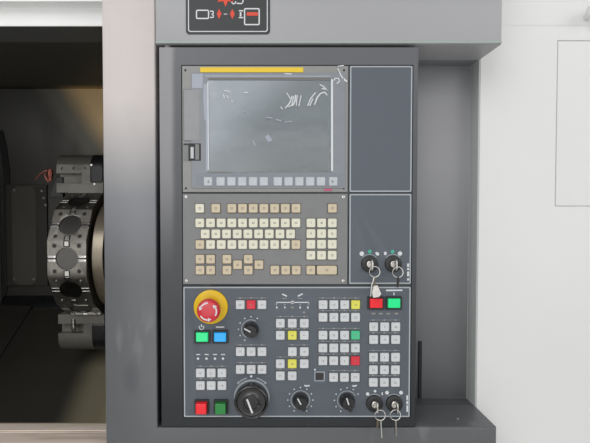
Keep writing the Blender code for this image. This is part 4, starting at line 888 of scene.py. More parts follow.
class Tree(Nodes):
    """A Geometry Nodes tree with named inputs, which ends in real geometry with a material."""

    def __init__(self, name, **inputs):
        tree = bpy.data.node_groups.new(name, "GeometryNodeTree")
        super().__init__(tree)
        tree.interface.new_socket("Geometry", in_out="INPUT", socket_type="NodeSocketGeometry")
        tree.interface.new_socket("Geometry", in_out="OUTPUT", socket_type="NodeSocketGeometry")
        for label, value in inputs.items():
            socket = tree.interface.new_socket(label, in_out="INPUT", socket_type="NodeSocketFloat")
            socket.default_value = value
        tree.interface.new_socket("material", in_out="INPUT", socket_type="NodeSocketMaterial")
        self.start = self.add("NodeGroupInput")
        self.end = self.add("NodeGroupOutput")

    def given(self, label):
        return self.start.outputs[label]

    def number(self, label):
        return Value(self, self.start.outputs[label])

    def close(self, geometry):
        real = self.add("GeometryNodeRealizeInstances", None, {"Geometry": geometry})
        coated = self.add("GeometryNodeSetMaterial", None,
                          {"Geometry": real.outputs[0], "Material": self.given("material")})
        smooth = self.add("GeometryNodeSetShadeSmooth", None, {"Geometry": coated.outputs[0]})
        self.feed(self.end.inputs["Geometry"], smooth.outputs[0])
        return self.tree

    def scatter(self, instance):
        """The instance at each point, turned and scaled by the point's own vectors."""
        kind = {"data_type": "FLOAT_VECTOR"}
        turn, scale = [self.add("GeometryNodeInputNamedAttribute", kind, {"Name": name})
                       for name in ("turn", "wide")]
        node = self.add("GeometryNodeInstanceOnPoints", None,
                        {"Points": self.given("Geometry"), "Instance": instance,
                         "Rotation": turn.outputs[0], "Scale": scale.outputs[0]})
        return node.outputs["Instances"]

    def pulled(self, mesh, top, rise, scale=1):
        """The top face pulled out by a rise and then scaled about its middle."""
        sockets = {"Mesh": mesh, "Offset Scale": rise, "Individual": False}
        if top is not None:
            sockets["Selection"] = top
        step = self.add("GeometryNodeExtrudeMesh", {"mode": "FACES"}, sockets)
        drawn = self.add("GeometryNodeScaleElements", {"domain": "FACE"},
                         {"Geometry": step.outputs["Mesh"], "Selection": step.outputs["Top"], "Scale": scale})
        return drawn.outputs[0], step.outputs["Top"]

    def finished(self, mesh, base):
        """The shell closed by its flipped base, turned to the front and set on every point."""
        under = self.add("GeometryNodeFlipFaces", None, {"Mesh": base})
        shut = self.add("GeometryNodeMergeByDistance", None,
                        {"Geometry": self.joined(mesh, under.outputs[0]), "Distance": merge})
        return self.close(self.scatter(self.turned_to_front(shut.outputs[0])))

    def joined(self, *parts):
        node = self.add("GeometryNodeJoinGeometry")
        for part in parts:
            self.tree.links.new(part, node.inputs[0])
        return node.outputs[0]

    def turned_to_front(self, geometry):
        node = self.add("GeometryNodeTransform", None,
                        {"Geometry": geometry, "Rotation": (math.pi / 2, 0, 0)})
        return node.outputs[0]


def key_tree():
    """A key cap that faces the front: round corners, chamfered edge and a shallow dish."""
    tree = Tree("key cap", size=key_size, height=0.003, corner=0.0014, chamfer=0.0009, dish=0.0003)
    quad = tree.add("GeometryNodeCurvePrimitiveQuadrilateral", {"mode": "RECTANGLE"},
                    {"Width": tree.given("size"), "Height": tree.given("size")})
    fillet = tree.add("GeometryNodeFilletCurve", {"mode": "POLY"},
                      {"Curve": quad.outputs[0], "Count": 3, "Radius": tree.given("corner")})
    plate = tree.add("GeometryNodeFillCurve", {"mode": "NGONS"}, {"Curve": fillet.outputs[0]})
    chamfer = tree.number("chamfer")
    form = tree.pulled(plate.outputs[0], None, tree.number("height") - chamfer)
    form = tree.pulled(*form, chamfer, 1 - 2 * chamfer / tree.number("size"))
    form = tree.pulled(*form, 0 - tree.number("dish"), 0.55)
    return tree.finished(form[0], plate.outputs[0])


def screw_tree():
    """A screw head or the lip of a hole: a disc with a rounded edge and a sunken middle."""
    tree = Tree("screw head", radius=0.003, height=0.0012, recess=0.0007, crown=0.82, hole=0.55)
    disc = tree.add("GeometryNodeMeshCircle", {"fill_type": "NGON"},
                    {"Vertices": 24, "Radius": tree.given("radius")})
    height = tree.number("height")
    form = tree.pulled(disc.outputs[0], None, height * 0.65)
    form = tree.pulled(*form, height * 0.35, tree.number("crown"))
    form = tree.pulled(*form, 0, tree.number("hole"))
    form = tree.pulled(*form, 0 - tree.number("recess"), 0.94)
    return tree.finished(form[0], disc.outputs[0])


def plug_tree():
    """A turned plug in a station's bore: a rim, a recess and the fine ridges that the tool left."""
    tree = Tree("bore plug", radius=0.0322, height=0.002, recess=0.0016, ridge=0.00016)
    disc = tree.add("GeometryNodeMeshCircle", {"fill_type": "NGON"},
                    {"Vertices": 56, "Radius": tree.given("radius")})
    form = tree.pulled(disc.outputs[0], None, tree.number("height"), 0.985)
    form = tree.pulled(*form, 0, 0.955)
    form = tree.pulled(*form, 0 - tree.number("recess"), 0.99)
    for ring in range(plug_rings, 1, -1):
        form = tree.pulled(*form, tree.number("ridge"), (ring - 0.5) / ring)
        form = tree.pulled(*form, 0 - tree.number("ridge"), (ring - 1) / (ring - 0.5))
    form = tree.pulled(*form, 0 - tree.number("height"), 0.9)
    return tree.finished(form[0], disc.outputs[0])


# Places

def seen(spot, y):
    """The X and Z on a plane facing the front where the photograph shows a pixel."""
    away = y - (face_y - camera_back)
    fall = math.atan((spot[1] - photo_height / 2) / focal_px)
    depth = away * math.cos(fall) / math.cos(fall + camera_pitch)
    return camera_x + (spot[0] - axis_px) * depth / focal_px, camera_z - away * math.tan(fall + camera_pitch)


def seen_box(corners, y):
    """Left, low, right and high on a plane facing the front, from two corners in the photograph."""
    left, high = seen(corners[:2], y)
    right, low = seen(corners[2:], y)
    return left, low, right, high


def control(node):
    """A control's middle on the panel, its radius and how far it stands out."""
    low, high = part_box(node)
    x, _, z = centre_of(low, high)
    return x, z, (high.x - low.x) / 2, face_y - low.y


def on_display(across, up):
    """A place on the display unit, from shares of its width and height."""
    return display_low.x + display_width * across, display_low.z + display_height * up


def on_operator(across, down):
    """A place on the operator plate, from shares of its width and height."""
    return operator_low.x + operator_width * across, operator_high.z - operator_height * down


def pixel(y):
    """The size of one pixel of the photograph on a plane facing the front."""
    return (y - face_y + camera_back) / focal_px


def printed(name, outlines, finish, y=None, loops=(), body="panel", thick=ink):
    """Flat print on a plate: filled outlines, and loops as pairs of an outer and an inner outline."""
    level = face_y if y is None else y
    forms = [prism(outline, level - thick, level + sink) for outline in outlines]
    forms += [band(outer, inner, level - thick, level + sink) for outer, inner in loops]
    piece(name, together(forms), finish, body)


def border(low, high, inset, width, radius=0.002):
    """An outer and an inner outline of a thin frame inside a plate's corners."""
    return frame_loops(low.x + inset, low.z + inset, high.x - inset, high.z - inset, width, radius,
                       max(radius - width, width / 2))


def traced(name, lines, finish, y=None, body="panel", thick=ink):
    """Lines followed in the photograph: each is its width and its spots, all in pixels."""
    level = face_y if y is None else y
    outlines = []
    for width, *spots in lines:
        outlines.append(stroke([seen(spot, level) for spot in spots], width * pixel(level)))
    printed(name, outlines, finish, y, (), body, thick)


def dots_px(spots, y):
    """Round outlines from spots that are a place and a radius in pixels."""
    return [arc(seen(spot[:2], y), spot[2] * pixel(y), 0, 360, 16)[:-1] for spot in spots]


def tile(name, corners, rise, finish, bevel=0.0002):
    """A raised box on the panel's face between two corners in the photograph."""
    left, low, right, high = seen_box(corners, face_y)
    form = box_form((left, face_y - rise, low), (right, face_y + sink, high))
    piece(name, form, finish, "panel", bevel)


def corner_screws(name, low, high, low_share, radius, finish):
    """Four small screws near the corners of a unit on the panel."""
    spots = ((screw_left_share, screw_top_share), (screw_left_share, low_share),
             (screw_right_share, low_share), (screw_right_share, screw_top_share))
    width = high.x - low.x
    height = high.z - low.z
    points = [(low.x + width * across, face_y, low.z + height * up) for across, up in spots]
    repeated(name, screw_tree(), points, finish, "panel", "steel", radius=radius, height=0.0005,
             recess=0.0005)


# Panel

def make_panel_box():
    """The charcoal housing of the panel."""
    refined("panel_box", "panel_paint", "panel", 0.0009)


def display_form(shares, near, far, below=0):
    """A box over a part of the display, between two depths; it may reach a little below its share."""
    left, low = on_display(*shares[:2])
    right, high = on_display(*shares[2:])
    return box_form((left, near, low - below), (right, far, high))


def film_form():
    """The clear film over the screen, a sheet with soft folds."""
    left, low = on_display(*display_film_shares[:2])
    right, high = on_display(*display_film_shares[2:])
    film = bmesh.new()
    bmesh.ops.create_grid(film, x_segments=64, y_segments=48, size=0.5)
    for vert in film.verts:
        u = vert.co.x + 0.5
        v = vert.co.y + 0.5
        waves = [math.sin(a * u + b * v * math.sin(phase) + phase * 3) for a, b, phase in fold_waves]
        fold = sum(waves) / len(waves)
        vert.co = (left + (right - left) * u, face_y - film_rise - fold_depth * fold, low + (high - low) * v)
    bmesh.ops.solidify(film, geom=film.faces[:], thickness=film_thickness)
    return film


def make_soft_keys():
    """The row of pale keys under the screen."""
    points = []
    for left, count in soft_key_shares:
        for i in range(count):
            share = left + soft_key_pitch_share * i + soft_key_width_share / 2
            x, z = on_display(share, soft_key_centre_share)
            points.append((x, face_y - soft_key_seat, z))
    size = display_width * soft_key_width_share + 2 * cap_spread
    tall = (display_height * soft_key_height_share + 2 * cap_spread) / size
    repeated("soft_keys", key_tree(), points, "soft_key", "panel", "plate_grey", [(1, 1, tall)] * len(points),
             size=size, height=soft_key_height)


def make_display():
    """The display unit with its step, screen, film, soft keys, strips and card slot cover."""
    refined("display_unit", "display_grey", "panel", 0.0007)
    outer, inner = [rounded(*on_display(*shares[:2]), *on_display(*shares[2:]), 0.003)
                    for shares in (display_step_shares, display_opening_shares)]
    step = band(outer, inner, face_y - step_rise, face_y + sink)
    piece("display_step_frame", step, "step_grey", "panel", 0.0006)
    screen = display_form(display_screen_shares, face_y - 0.0002, face_y + 0.0022)
    piece("display_screen", screen, "screen_glass", "panel", 0.0002)
    piece("display_film", film_form(), "screen_film", "panel")
    strip = display_form(soft_strip_shares, face_y - strip_rise, face_y - soft_key_seat)
    piece("soft_key_strip", strip, "strip_grey", "panel", 0.0002)
    yellow = display_form(yellow_strip_shares, face_y - strip_rise, face_y - sink, 0.0012)
    piece("display_yellow_strip", yellow, "yellow_print", "panel", 0.0003)
    make_soft_keys()
    corner_screws("display_screws", display_low, display_high, 0.030, 0.0020, "black_moulding")
    make_screen_shine()
    for name, corners, rise, finish, slot in latch_tiles_px:
        tile(name, corners, rise, finish, 0.0003)
    refined("card_slot_cover", "cover_grey", "card_flap", 0.0009)


# The card latch; the dark recess round its clip is painted shade
latch_tiles_px = (
    ("card_latch_plate", (183.4, 142.8, 201.2, 161), 0.0008, "unit_grey", "plate_grey"),
    ("card_latch_slot", (183.6, 143.6, 189.4, 145.2), 0.0012, "dark_well", "black_plastic"),
    ("card_latch_recess", (188.6, 143.6, 201, 160.8), 0.0022, "dark_well", "black_plastic"),
    ("card_latch_block", (195.4, 144.4, 199.4, 159.8), 0.0030, "unit_grey", "plate_grey"),
    ("card_latch_clip", (190.8, 147.2, 194, 158.6), 0.0034, "soft_key", "steel"))


def make_screen_shine():
    """Painted highlights where the clear film's folds and edges catch the light, painted shadows along the
    screen's edges, and the small marks round it.
    """
    front = face_y - shine_rise
    # Painted highlights on the film's folds and edges
    traced("film_shine", film_shine_px, "white_print", front, thick=0.0009)
    traced("film_sheen", film_sheen_px, "pale_tab", front, thick=0.0006)
    # Painted shadows along the screen's top and bottom edges
    traced("screen_edges", screen_shadow_lines_px, "grey_print", front, thick=0.0007)
    tile("display_tab", display_tab_px, strip_rise, "pale_tab")
    traced("display_pink_mark", pink_mark_px, "pink_print", thick=0.0020)
    level = face_y - soft_key_seat - soft_key_top
    traced("soft_key_arrows", soft_key_arrows_px, "grey_print", level)


display_tab_px = (192, 74, 203, 88.3)
pink_mark_px = ((1.9, (324.2, 189.8), (331.8, 189.6)),)
soft_key_arrows_px = (
    (1, (209.2, 180.6), (207.6, 181.7), (209.2, 182.8)),
    (1, (331.6, 180.4), (333.2, 181.6), (331.6, 182.8)))
film_shine_px = (
    (2, (331.9, 79.4), (332, 171)), (1, (207.9, 82), (208.1, 104), (208.6, 170)),
    (1, (224.4, 90.7), (227, 91), (229.6, 92.2)), (1.1, (243.8, 92.2), (248, 92.9)),
    (1, (223.2, 94), (224.6, 98)), (0.9, (226.4, 95.4), (228.6, 98.4)),
    (0.9, (231.4, 100.4), (233, 101.8)), (0.8, (286.6, 92.8), (290.4, 98.6)),
    (1.2, (285, 108.4), (289.6, 103.4), (292.2, 96)),
    (1.1, (288.4, 107), (291.8, 105.2), (293.6, 96.4)),
    (1.3, (292.6, 106), (295, 101.2), (295.4, 95)), (1, (296.2, 105.6), (297.2, 95.2)),
    (0.9, (298.8, 106.2), (301, 95.6)), (0.9, (280.8, 106.8), (282.6, 109.4)),
    (1.1, (307.6, 105.8), (310.6, 98.6), (315.6, 92.6)), (1.1, (309.6, 106), (312.8, 98.8)),
    (1.3, (314.4, 104.8), (317.2, 97.6), (320.4, 93.6), (324.6, 92.4), (327.2, 95.2)),
    (1, (319.6, 84.6), (323.4, 86.6), (327.2, 90.4)), (1, (321.6, 88.4), (326.6, 89.8)),
    (1, (333.8, 80.6), (335.4, 78.2), (338.6, 78.6), (339.4, 81.4), (336.6, 83.6)),
    (1, (337.6, 68.2), (340.4, 74.6), (343.6, 79.6)), (1.7, (343, 78.6), (347, 81.8)),
    (1, (338, 66.4), (343.8, 65.6)), (1, (284.4, 73.8), (291.6, 74.2)))
film_sheen_px = (
    (4.4, (206, 84), (205.6, 98), (206.6, 120)), (2.2, (207, 120), (207.2, 171)),
    (0.9, (241, 110.2), (249, 112.8)), (1.1, (265.8, 117.4), (272.4, 118)),
    (1.3, (275.6, 119.2), (281.4, 121.2)), (0.9, (284, 122), (292, 121.6)),
    (1, (252.6, 140.6), (255.4, 145.6)), (4.4, (266.6, 135.4), (268.4, 138.2), (270.4, 141.2)),
    (1.2, (205.4, 76), (330.8, 76.4)))
screen_shadow_lines_px = ((1.9, (208.4, 78.8), (330.6, 78.6)), (0.8, (208.6, 172.5), (232, 172.7)))


def make_keyboard(sizes):
    """The keyboard unit with its caps, painted shade in the gaps round them and a plain mark on each."""
    refined("keyboard_unit", "unit_grey", "panel", 0.0005)
    left = keyboard_low.x + keyboard_width * keyboard_left_share
    top = keyboard_high.z - keyboard_height * keyboard_top_share
    height = keyboard_rise + cap_lift
    wells = []
    for name, blocks in (("ivory_keys", ivory_blocks), ("tan_keys", tan_blocks)):
        points = []
        for column, row, across, down in blocks:
            for i in range(across):
                for j in range(down):
                    points.append((left + (column + i) * key_pitch + key_size / 2, face_y,
                                   top - (row + j) * key_pitch - key_size / 2))
        wide = [(1, 1, 1)] * len(points)
        if name == "tan_keys":
            column, row, width = wide_key
            points.append((left + column * key_pitch + width * key_pitch / 2, face_y,
                           top - row * key_pitch - key_size / 2))
            wide.append((width * key_pitch / key_size, 1, 1))
        wells += list(zip(points, wide))
        repeated(name, key_tree(), points, name[:-1], "panel", "plate_grey", wide,
                 size=key_size + 2 * cap_spread, height=height, chamfer=sizes.key_chamfer,
                 dish=sizes.key_dish)
    # Dark wells round the keys: painted shade
    points = [point for point, _ in wells]
    repeated("key_wells", key_tree(), points, "dark_well", "panel", "plate_grey", [wide for _, wide in wells],
             size=key_size + well_spread, height=0.0007, chamfer=0.0002, dish=0, corner=0.0012)
    marks = []
    for index, (x, _, z) in enumerate(points):
        column = (x - left - key_size / 2) / key_pitch - number_column
        row = (top - z - key_size / 2) / key_pitch
        lines = key_marks[index * 7 % len(key_marks)]
        if column > -0.1 and 1 < row < 4:
            lines = digits[round(3 * (3.37 - row) + column) + 1]
        if column > 0.9 and column < 1.1 and 4 < row < 5:
            lines = digits[0]
        marks += key_lines(lines, x, z)
    printed("keyboard_marks", marks, "grey_print", key_top(sizes))
    corner_screws("keyboard_screws", keyboard_low, keyboard_high, 0.035, 0.0024, "bright_steel")


def key_top(sizes):
    """Where the hollow of a key cap lies."""
    return face_y - keyboard_rise - cap_lift + sizes.key_dish


def key_lines(lines, x, z):
    """The outlines of a mark on a key, drawn in millimetres from the key's middle."""
    outlines = []
    for width, *spots in lines:
        outlines.append(stroke([(x + a * 0.001, z + b * 0.001) for a, b in spots], width * 0.001))
    return outlines


key_marks = (
    ((0.8, (-2.4, 1.1), (2.4, 1.1)), (0.8, (-2.4, -1.1), (2.4, -1.1))),
    ((0.7, (-0.6, 2.0), (-2.0, 0.8), (-2.0, -1.0), (-0.6, -2.0), (1.2, -1.8), (2.1, -0.4), (1.8, 1.2),
     (0.6, 2.0)),), ((0.8, (-2.6, 0), (1.1, 0)), (0.8, (0.4, 1.9), (2.3, 0), (0.4, -1.9))),
    ((0.8, (-2.0, -1.8), (-2.0, 1.8), (2.0, 1.8), (2.0, -1.8)),), ((0.9, (0, -2.1), (0, 2.1)),),
    ((0.8, (-2.2, -1.4), (-0.6, 1.4), (0.8, -1.2), (2.2, 1.4)),),
    ((1.4, (-2.2, 0), (-0.8, 0)), (1.4, (0.8, 0), (2.2, 0))))
digits = (
    ((0.6, (-1.2, -1.3), (-1.2, 1.8), (1.2, 1.8), (1.2, -1.8), (-0.6, -1.8)),),
    ((0.6, (0.2, -1.9), (0.2, 1.9)),),
    ((0.6, (-1.2, 1.8), (1.2, 1.8), (1.2, 0), (-1.2, 0), (-1.2, -1.8), (1.2, -1.8)),),
    ((0.6, (-1.2, 1.8), (1.2, 1.8), (0.1, 0.3), (1.2, -0.6), (0.8, -1.7), (-1.2, -1.8)),),
    ((0.6, (0.8, -1.9), (0.8, 1.9)), (0.6, (-1.2, 1.8), (-1.2, 0), (0.3, 0))),
    ((0.6, (1.2, 1.8), (-1.2, 1.8), (-1.2, 0), (1.2, 0), (1.2, -1.8), (-1.2, -1.8)),),
    ((0.6, (1.2, 1.8), (-1.2, 1.8), (-1.2, -1.8), (1.2, -1.8), (1.2, 0), (-0.6, 0)),),
    ((0.6, (-1.2, 1.8), (1.2, 1.8), (-0.2, -1.9)),),
    ((0.6, (-1.2, -1.8), (-1.2, 1.8)), (0.6, (1.2, -1.8), (1.2, 1.8)), (0.6, (-0.8, 1.5), (0.8, 1.5)),
     (0.6, (-0.8, 0), (0.8, 0)), (0.6, (-0.8, -1.5), (0.8, -1.5))),
    ((0.6, (-1.2, -1.8), (1.2, -1.8), (1.2, 1.8), (-1.2, 1.8), (-1.2, 0), (0.6, 0)),))


def make_labels(keys, sizes):
    """A thin line with ticks over every row of small keys, and a plain mark on each key."""
    lines = []
    ticks = []
    for left, down, across, rows, pitch_x, pitch_z in operator_blocks_shares:
        x, z = on_operator(left, down)
        step = operator_width * pitch_x
        for j in range(rows):
            level = z - operator_height * pitch_z * j + label_gap
            lines.append(stroke([(x, level), (x + step * (across - 1) + operator_key, level)], 0.0007))
            for i in range(across):
                middle = x + step * i + operator_key / 2
                ticks.append(stroke([(middle - 0.0016, level), (middle + 0.0016, level)], 0.0014))
    printed("key_label_lines", lines, "soft_print")
    printed("key_label_ticks", ticks, "pale_print", thick=ink * 1.4)
    marks = []
    for index, (x, _, z) in enumerate(keys):
        marks += key_lines(key_marks[index * 5 % len(key_marks)], x, z)
    printed("operator_key_marks", marks, "soft_print", key_top(sizes))
    traced("plate_lines", plate_lines_px, "white_print")
    traced("plate_dim_lines", plate_dim_lines_px, "soft_print")
    printed("plate_dots", dots_px(plate_dots_px, face_y), "white_print", thick=ink * 1.6)
    printed("plate_green_dots", dots_px(plate_green_dots_px, face_y), "mint_print")
    loops = [frame_loops(*seen_box(sensor_border_px, face_y), 0.0013, 0.001, 0.0005)]
    printed("sensor_border", [], "pale_print", loops=loops)
    tile("sensor_window", sensor_window_px, 0.0004, "black_gloss", 0.0001)
    centre = control("handwheel")[:2]
    arcs = [stroke(arc(centre, wheel_arrow_radius, a, b, 6), 0.0017) for a, b in ((132, 104), (76, 48))]
    for angle, along in ((132, 1), (48, -1)):
        tip, base = arc(centre, wheel_arrow_radius, angle + 7 * along, angle - 1.5 * along, 1)
        out = (Vector(base) - Vector(centre)).normalized() * 0.0026
        arcs.append([(base[0] + out.x, base[1] + out.y), tip, (base[0] - out.x, base[1] - out.y)])
    for node, radius, start, end in key_arcs:
        arcs.append(stroke(arc(control(node)[:2], radius, start, end, 12), 0.0011))
    printed("turning_arcs", arcs, "pale_print")


sensor_border_px = (314.4, 371.6, 324.7, 381.2)
sensor_window_px = (315.9, 373.1, 323.3, 379.6)
label_gap = 0.0041
wheel_arrow_radius = 0.0352
key_arcs = (("panel_key_1", 0.0166, 139, 41), ("panel_key_2", 0.0166, 139, 41),
            ("panel_key_3", 0.0164, 128, 52), ("panel_key_4", 0.0164, 128, 52))
plate_lines_px = (
    (0.9, (276.4, 304.6), (276.5, 302.4), (308.7, 302.3), (308.8, 304.4)),
    (3, (291.1, 302.3), (293.8, 302.3)), (1.2, (276.8, 306.2), (276.8, 308.6)),
    (1.2, (284.8, 306.4), (284.8, 308.4)), (1.2, (300.1, 306.2), (300.1, 308.6)),
    (1.2, (307.9, 306.2), (307.9, 308.6)), (1.3, (282.2, 294.2), (284.6, 295), (286.9, 296.3)),
    (1.3, (297.8, 296.2), (300.2, 295), (302.6, 293.8)), (1.5, (386, 290.4), (402.4, 290.2)),
    (1.1, (393.9, 292.6), (393.9, 295.2)), (1.4, (304.4, 385.4), (306.8, 385.9), (309.6, 385.6)),
    (1.4, (352.2, 385.6), (354.4, 386.2), (356.8, 385.2)), (1.2, (382.2, 392.4), (382.2, 395)),
    (1.9, (408.1, 263.5), (408.1, 266.8)), (1.9, (408.1, 268), (408.1, 270)),
    (1.9, (408.1, 271.6), (408.1, 276.2)), (1.9, (408.1, 278.3), (408.1, 280.4)),
    (1.6, (407.2, 395.4), (407.2, 399.8)), (1.6, (407.2, 400.8), (407.2, 404.2)),
    (1.6, (407.2, 405.4), (407.2, 411.8)), (1.6, (375.6, 252.4), (378.8, 255.2)),
    (3.2, (384, 253.4), (386.6, 253.4)), (0.9, (196.2, 354.5), (200.2, 354.5)),
    (0.9, (204.6, 354.5), (208.6, 354.5)), (0.9, (213, 354.5), (217, 354.5)),
    (0.9, (221, 354.5), (225, 354.5)), (1.2, (216, 327.1), (224.2, 327)),
    (1, (201.5, 324.4), (201.5, 327)),
    (0.8, (199.6, 325.9), (199.2, 327.8), (200.6, 329.4), (202.6, 329.4), (203.8, 327.8), (203.4, 325.9)))
plate_dim_lines_px = (
    (1.5, (371.6, 313.6), (375.4, 313.6)), (1.5, (378.8, 313.6), (382.6, 313.6)),
    (1.5, (386.4, 313.6), (390.2, 313.6)), (1.5, (394.6, 313.6), (398.2, 313.6)),
    (0.8, (282.2, 298.4), (286.8, 298.4)), (0.8, (297.9, 298.4), (302.4, 298.4)),
    (0.9, (283.8, 304.4), (285.8, 304.4)), (0.9, (299.1, 304.4), (301.1, 304.4)),
    (1.6, (302.6, 312.3), (305.4, 312.3)), (1.8, (291.2, 307.4), (293.6, 307.4)))
plate_dots_px = (
    (361.8, 253.7, 2.3), (377.3, 253.8, 1.7), (399.9, 253.5, 2.2), (367.6, 393.9, 1.7), (375, 391.1, 1.3),
    (387, 392.6, 1.9), (401, 392.6, 1.9), (198, 358.6, 1.2), (206.5, 358.6, 1.2), (215, 358.6, 1.2),
    (223, 358.6, 1.2), (251.2, 376.3, 1.2), (314.9, 369.6, 0.9))
plate_green_dots_px = ((369.8, 251.6, 1.9), (392.5, 251.6, 1.9))


def make_operator_keys(sizes):
    """The operator plate with its small keys, painted shade in the gaps round them and their labels."""
    refined("operator_plate", "slate_film", "panel", 0.0003)
    groups = {}
    for index, (left, down, across, rows, pitch_x, pitch_z) in enumerate(operator_blocks_shares):
        x, z = on_operator(left, down)
        for i in range(across):
            for j in range(rows):
                finish = lit_keys.get((index, i, j), "white_key")
                spot = (x + operator_width * pitch_x * i + operator_key / 2, face_y,
                        z - operator_height * pitch_z * j - operator_key / 2)
                groups.setdefault(finish, []).append(spot)
    for finish, points in groups.items():
        repeated(f"operator_{finish}s", key_tree(), points, finish, "panel", "slate_plate",
                 size=operator_key + 2 * cap_spread, height=keyboard_rise + cap_lift, corner=0.0012,
                 chamfer=sizes.key_chamfer, dish=sizes.key_dish)
    every = [point for points in groups.values() for point in points]
    # Black wells round the keys: painted shade
    repeated("operator_key_wells", key_tree(), every, "black_print", "panel", "slate_plate",
             size=operator_key + well_spread, height=0.0006, chamfer=0.0002, dish=0, corner=0.0012)
    make_labels(every, sizes)


def make_stop():
    """The mushroom button with its black neck, yellow ring and three turning arrows."""
    x, z = on_operator(*stop_centre_shares)
    low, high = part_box("emergency_stop")
    front = face_y - low.y
    rim = high.x - x
    head = turned([(front - 0.0225, 0), (front - 0.0225, 0.0130), (front - 0.0205, rim * 0.90),
                   (front - 0.0185, rim * 0.985), (front - 0.0150, rim), (front - 0.0085, rim),
                   (front - 0.0044, rim * 0.970), (front - 0.0020, rim * 0.90), (front - 0.0006, rim * 0.70),
                   (front - 0.0003, rim * 0.4), (front, 0)], 64)
    head = facing(head, x, face_y, z)
    head_piece = piece("emergency_stop_head", head, "stop_red", "stop_head")
    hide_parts("emergency_stop")
    neck = turned([(-0.0095, 0), (-0.0095, 0.0098), (front - 0.0230, 0.0098), (front - 0.0228, 0.0126),
                   (front - 0.0222, 0.0126), (front - 0.0222, 0)], 40)
    piece("emergency_stop_neck", facing(neck, x, face_y, z), "black_moulding", "stop_head")
    arrows = []
    for k in range(3):
        start = 90 + 120 * k
        outer = arc((x, z), rim * 0.78, start, start + stop_arrow_sweep, 8)
        inner = arc((x, z), rim * 0.66, start + stop_arrow_sweep, start, 8)
        arrows.append(outer + inner)
        tip = at_angle((x, z), rim * 0.72, start + 84)
        wing_out = at_angle((x, z), rim * 0.90, start + 60)
        wing_in = at_angle((x, z), rim * 0.54, start + 60)
        arrows.append([wing_out, tip, wing_in])
    forms = [prism(outline, low.y + 0.0001, low.y + 0.0024) for outline in arrows]
    piece("emergency_stop_arrows", together(forms), "white_print", "stop_head")
    ring = turned([(0.0006, 0.0112), (0.0050, 0.0112), (0.0056, 0.0120), (0.0056, 0.0280), (0.0046, 0.0298),
                   (0.0006, 0.0302)], 64, ring=True)
    piece("emergency_stop_ring", facing(ring, x, face_y, z), "stop_yellow", "panel")


def make_knobs():
    """Black knobs with a grip bar and a white pointer, over printed scales."""
    scales = []
    dots = []
    for node, turn, first, last in knob_scales:
        x, z, radius, rise = control(node)
        skirt = turned([(0.0004, 0), (0.0004, radius), (0.0034, radius), (0.0042, radius * 0.96),
                        (0.0056, radius * 0.84), (rise - 0.0022, radius * 0.78),
                        (rise - 0.0012, radius * 0.74), (rise - 0.0010, 0)], 48)
        grip_outline = rounded(-0.0036, -radius * 0.98, 0.0036, radius * 0.98, 0.0030)
        lean = Matrix.Rotation(math.radians(turn - 90), 4, "X")
        grip = moved(prism(grip_outline, 0.0052, rise, axis=0), lean)
        body = f"{node}_body"
        whole = piece(f"{node}_cap", facing(together([skirt, grip]), x, face_y, z), "black_moulding", body,
                      0.0004)
        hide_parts(node)
        mark = box_form((rise - 0.0004, -0.0010, radius * 0.02), (rise + 0.0002, 0.0010, radius * 0.93))
        mark = moved(mark, lean)
        piece(f"{node}_pointer", facing(mark, x, face_y, z), "white_print", body)
        for degrees in range(first, last - 1, -30):
            dot_x, dot_z = at_angle((x, z), knob_dot_radius, degrees)
            dots.append((dot_x, face_y, dot_z))
        scales.append(stroke(arc((x, z), radius * 1.25, first, last, 32), 0.0011))
    printed("knob_scales", scales, "pale_print")
    repeated("knob_scale_dots", screw_tree(), dots, "white_print", "panel", "slate_plate", radius=0.0012,
             height=0.0003, recess=0.00005)


knob_scales = (("feed_knob", 150, 240, 60), ("speed_knob", 120, 240, -60), ("rapid_knob", 108, 240, 30))
knob_dot_radius = 0.0224


def make_handwheel():
    """The black dished wheel with its finger knob, a pointer line and a pale collar."""
    x, z, radius, rise = control("handwheel")
    dish = turned([(0.0004, 0), (0.0004, radius * 0.88), (0.0040, radius * 0.985), (0.0070, radius),
                   (rise - 0.0065, radius), (rise - 0.0030, radius * 0.985), (rise - 0.0010, radius * 0.95),
                   (rise - 0.0002, radius * 0.90), (rise - 0.0012, radius * 0.86),
                   (rise - 0.0042, radius * 0.80), (rise - 0.0052, radius * 0.50),
                   (rise - 0.0046, radius * 0.44), (rise - 0.0030, radius * 0.40), (rise - 0.0026, 0)], 96)
    wheel = piece("handwheel_dish", facing(dish, x, face_y, z), "black_gloss", "wheel")
    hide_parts("handwheel")
    line = prism(stroke([(-0.0073, 0.0056), (0.0019, -0.0187)], 0.0030), rise - 0.0054, rise - 0.0018, axis=0)
    piece("handwheel_pointer", facing(line, x, face_y, z), "white_print", "wheel")
    grip = turned([(rise - 0.0070, 0), (rise - 0.0070, 0.0036), (rise - 0.0005, 0.0044),
                   (rise - 0.0002, 0.0040), (rise - 0.0001, 0)], 32)
    piece("handwheel_finger_knob", facing(grip, x + 0.0132, face_y, z - 0.0088), "black_gloss", "wheel")
    collar = turned([(0.0, radius * 0.93), (0.0, radius * 1.06), (0.0012, radius * 1.06),
                     (0.0012, radius * 0.93)], 96, ring=True)
    collar = facing(collar, x, face_y - 0.0001, z)
    piece("handwheel_collar", collar, "pale_print", "panel", 0.0003)


bezel_reach = 0.0036
bezel_width = 0.0032
bezel_rise = 0.0036


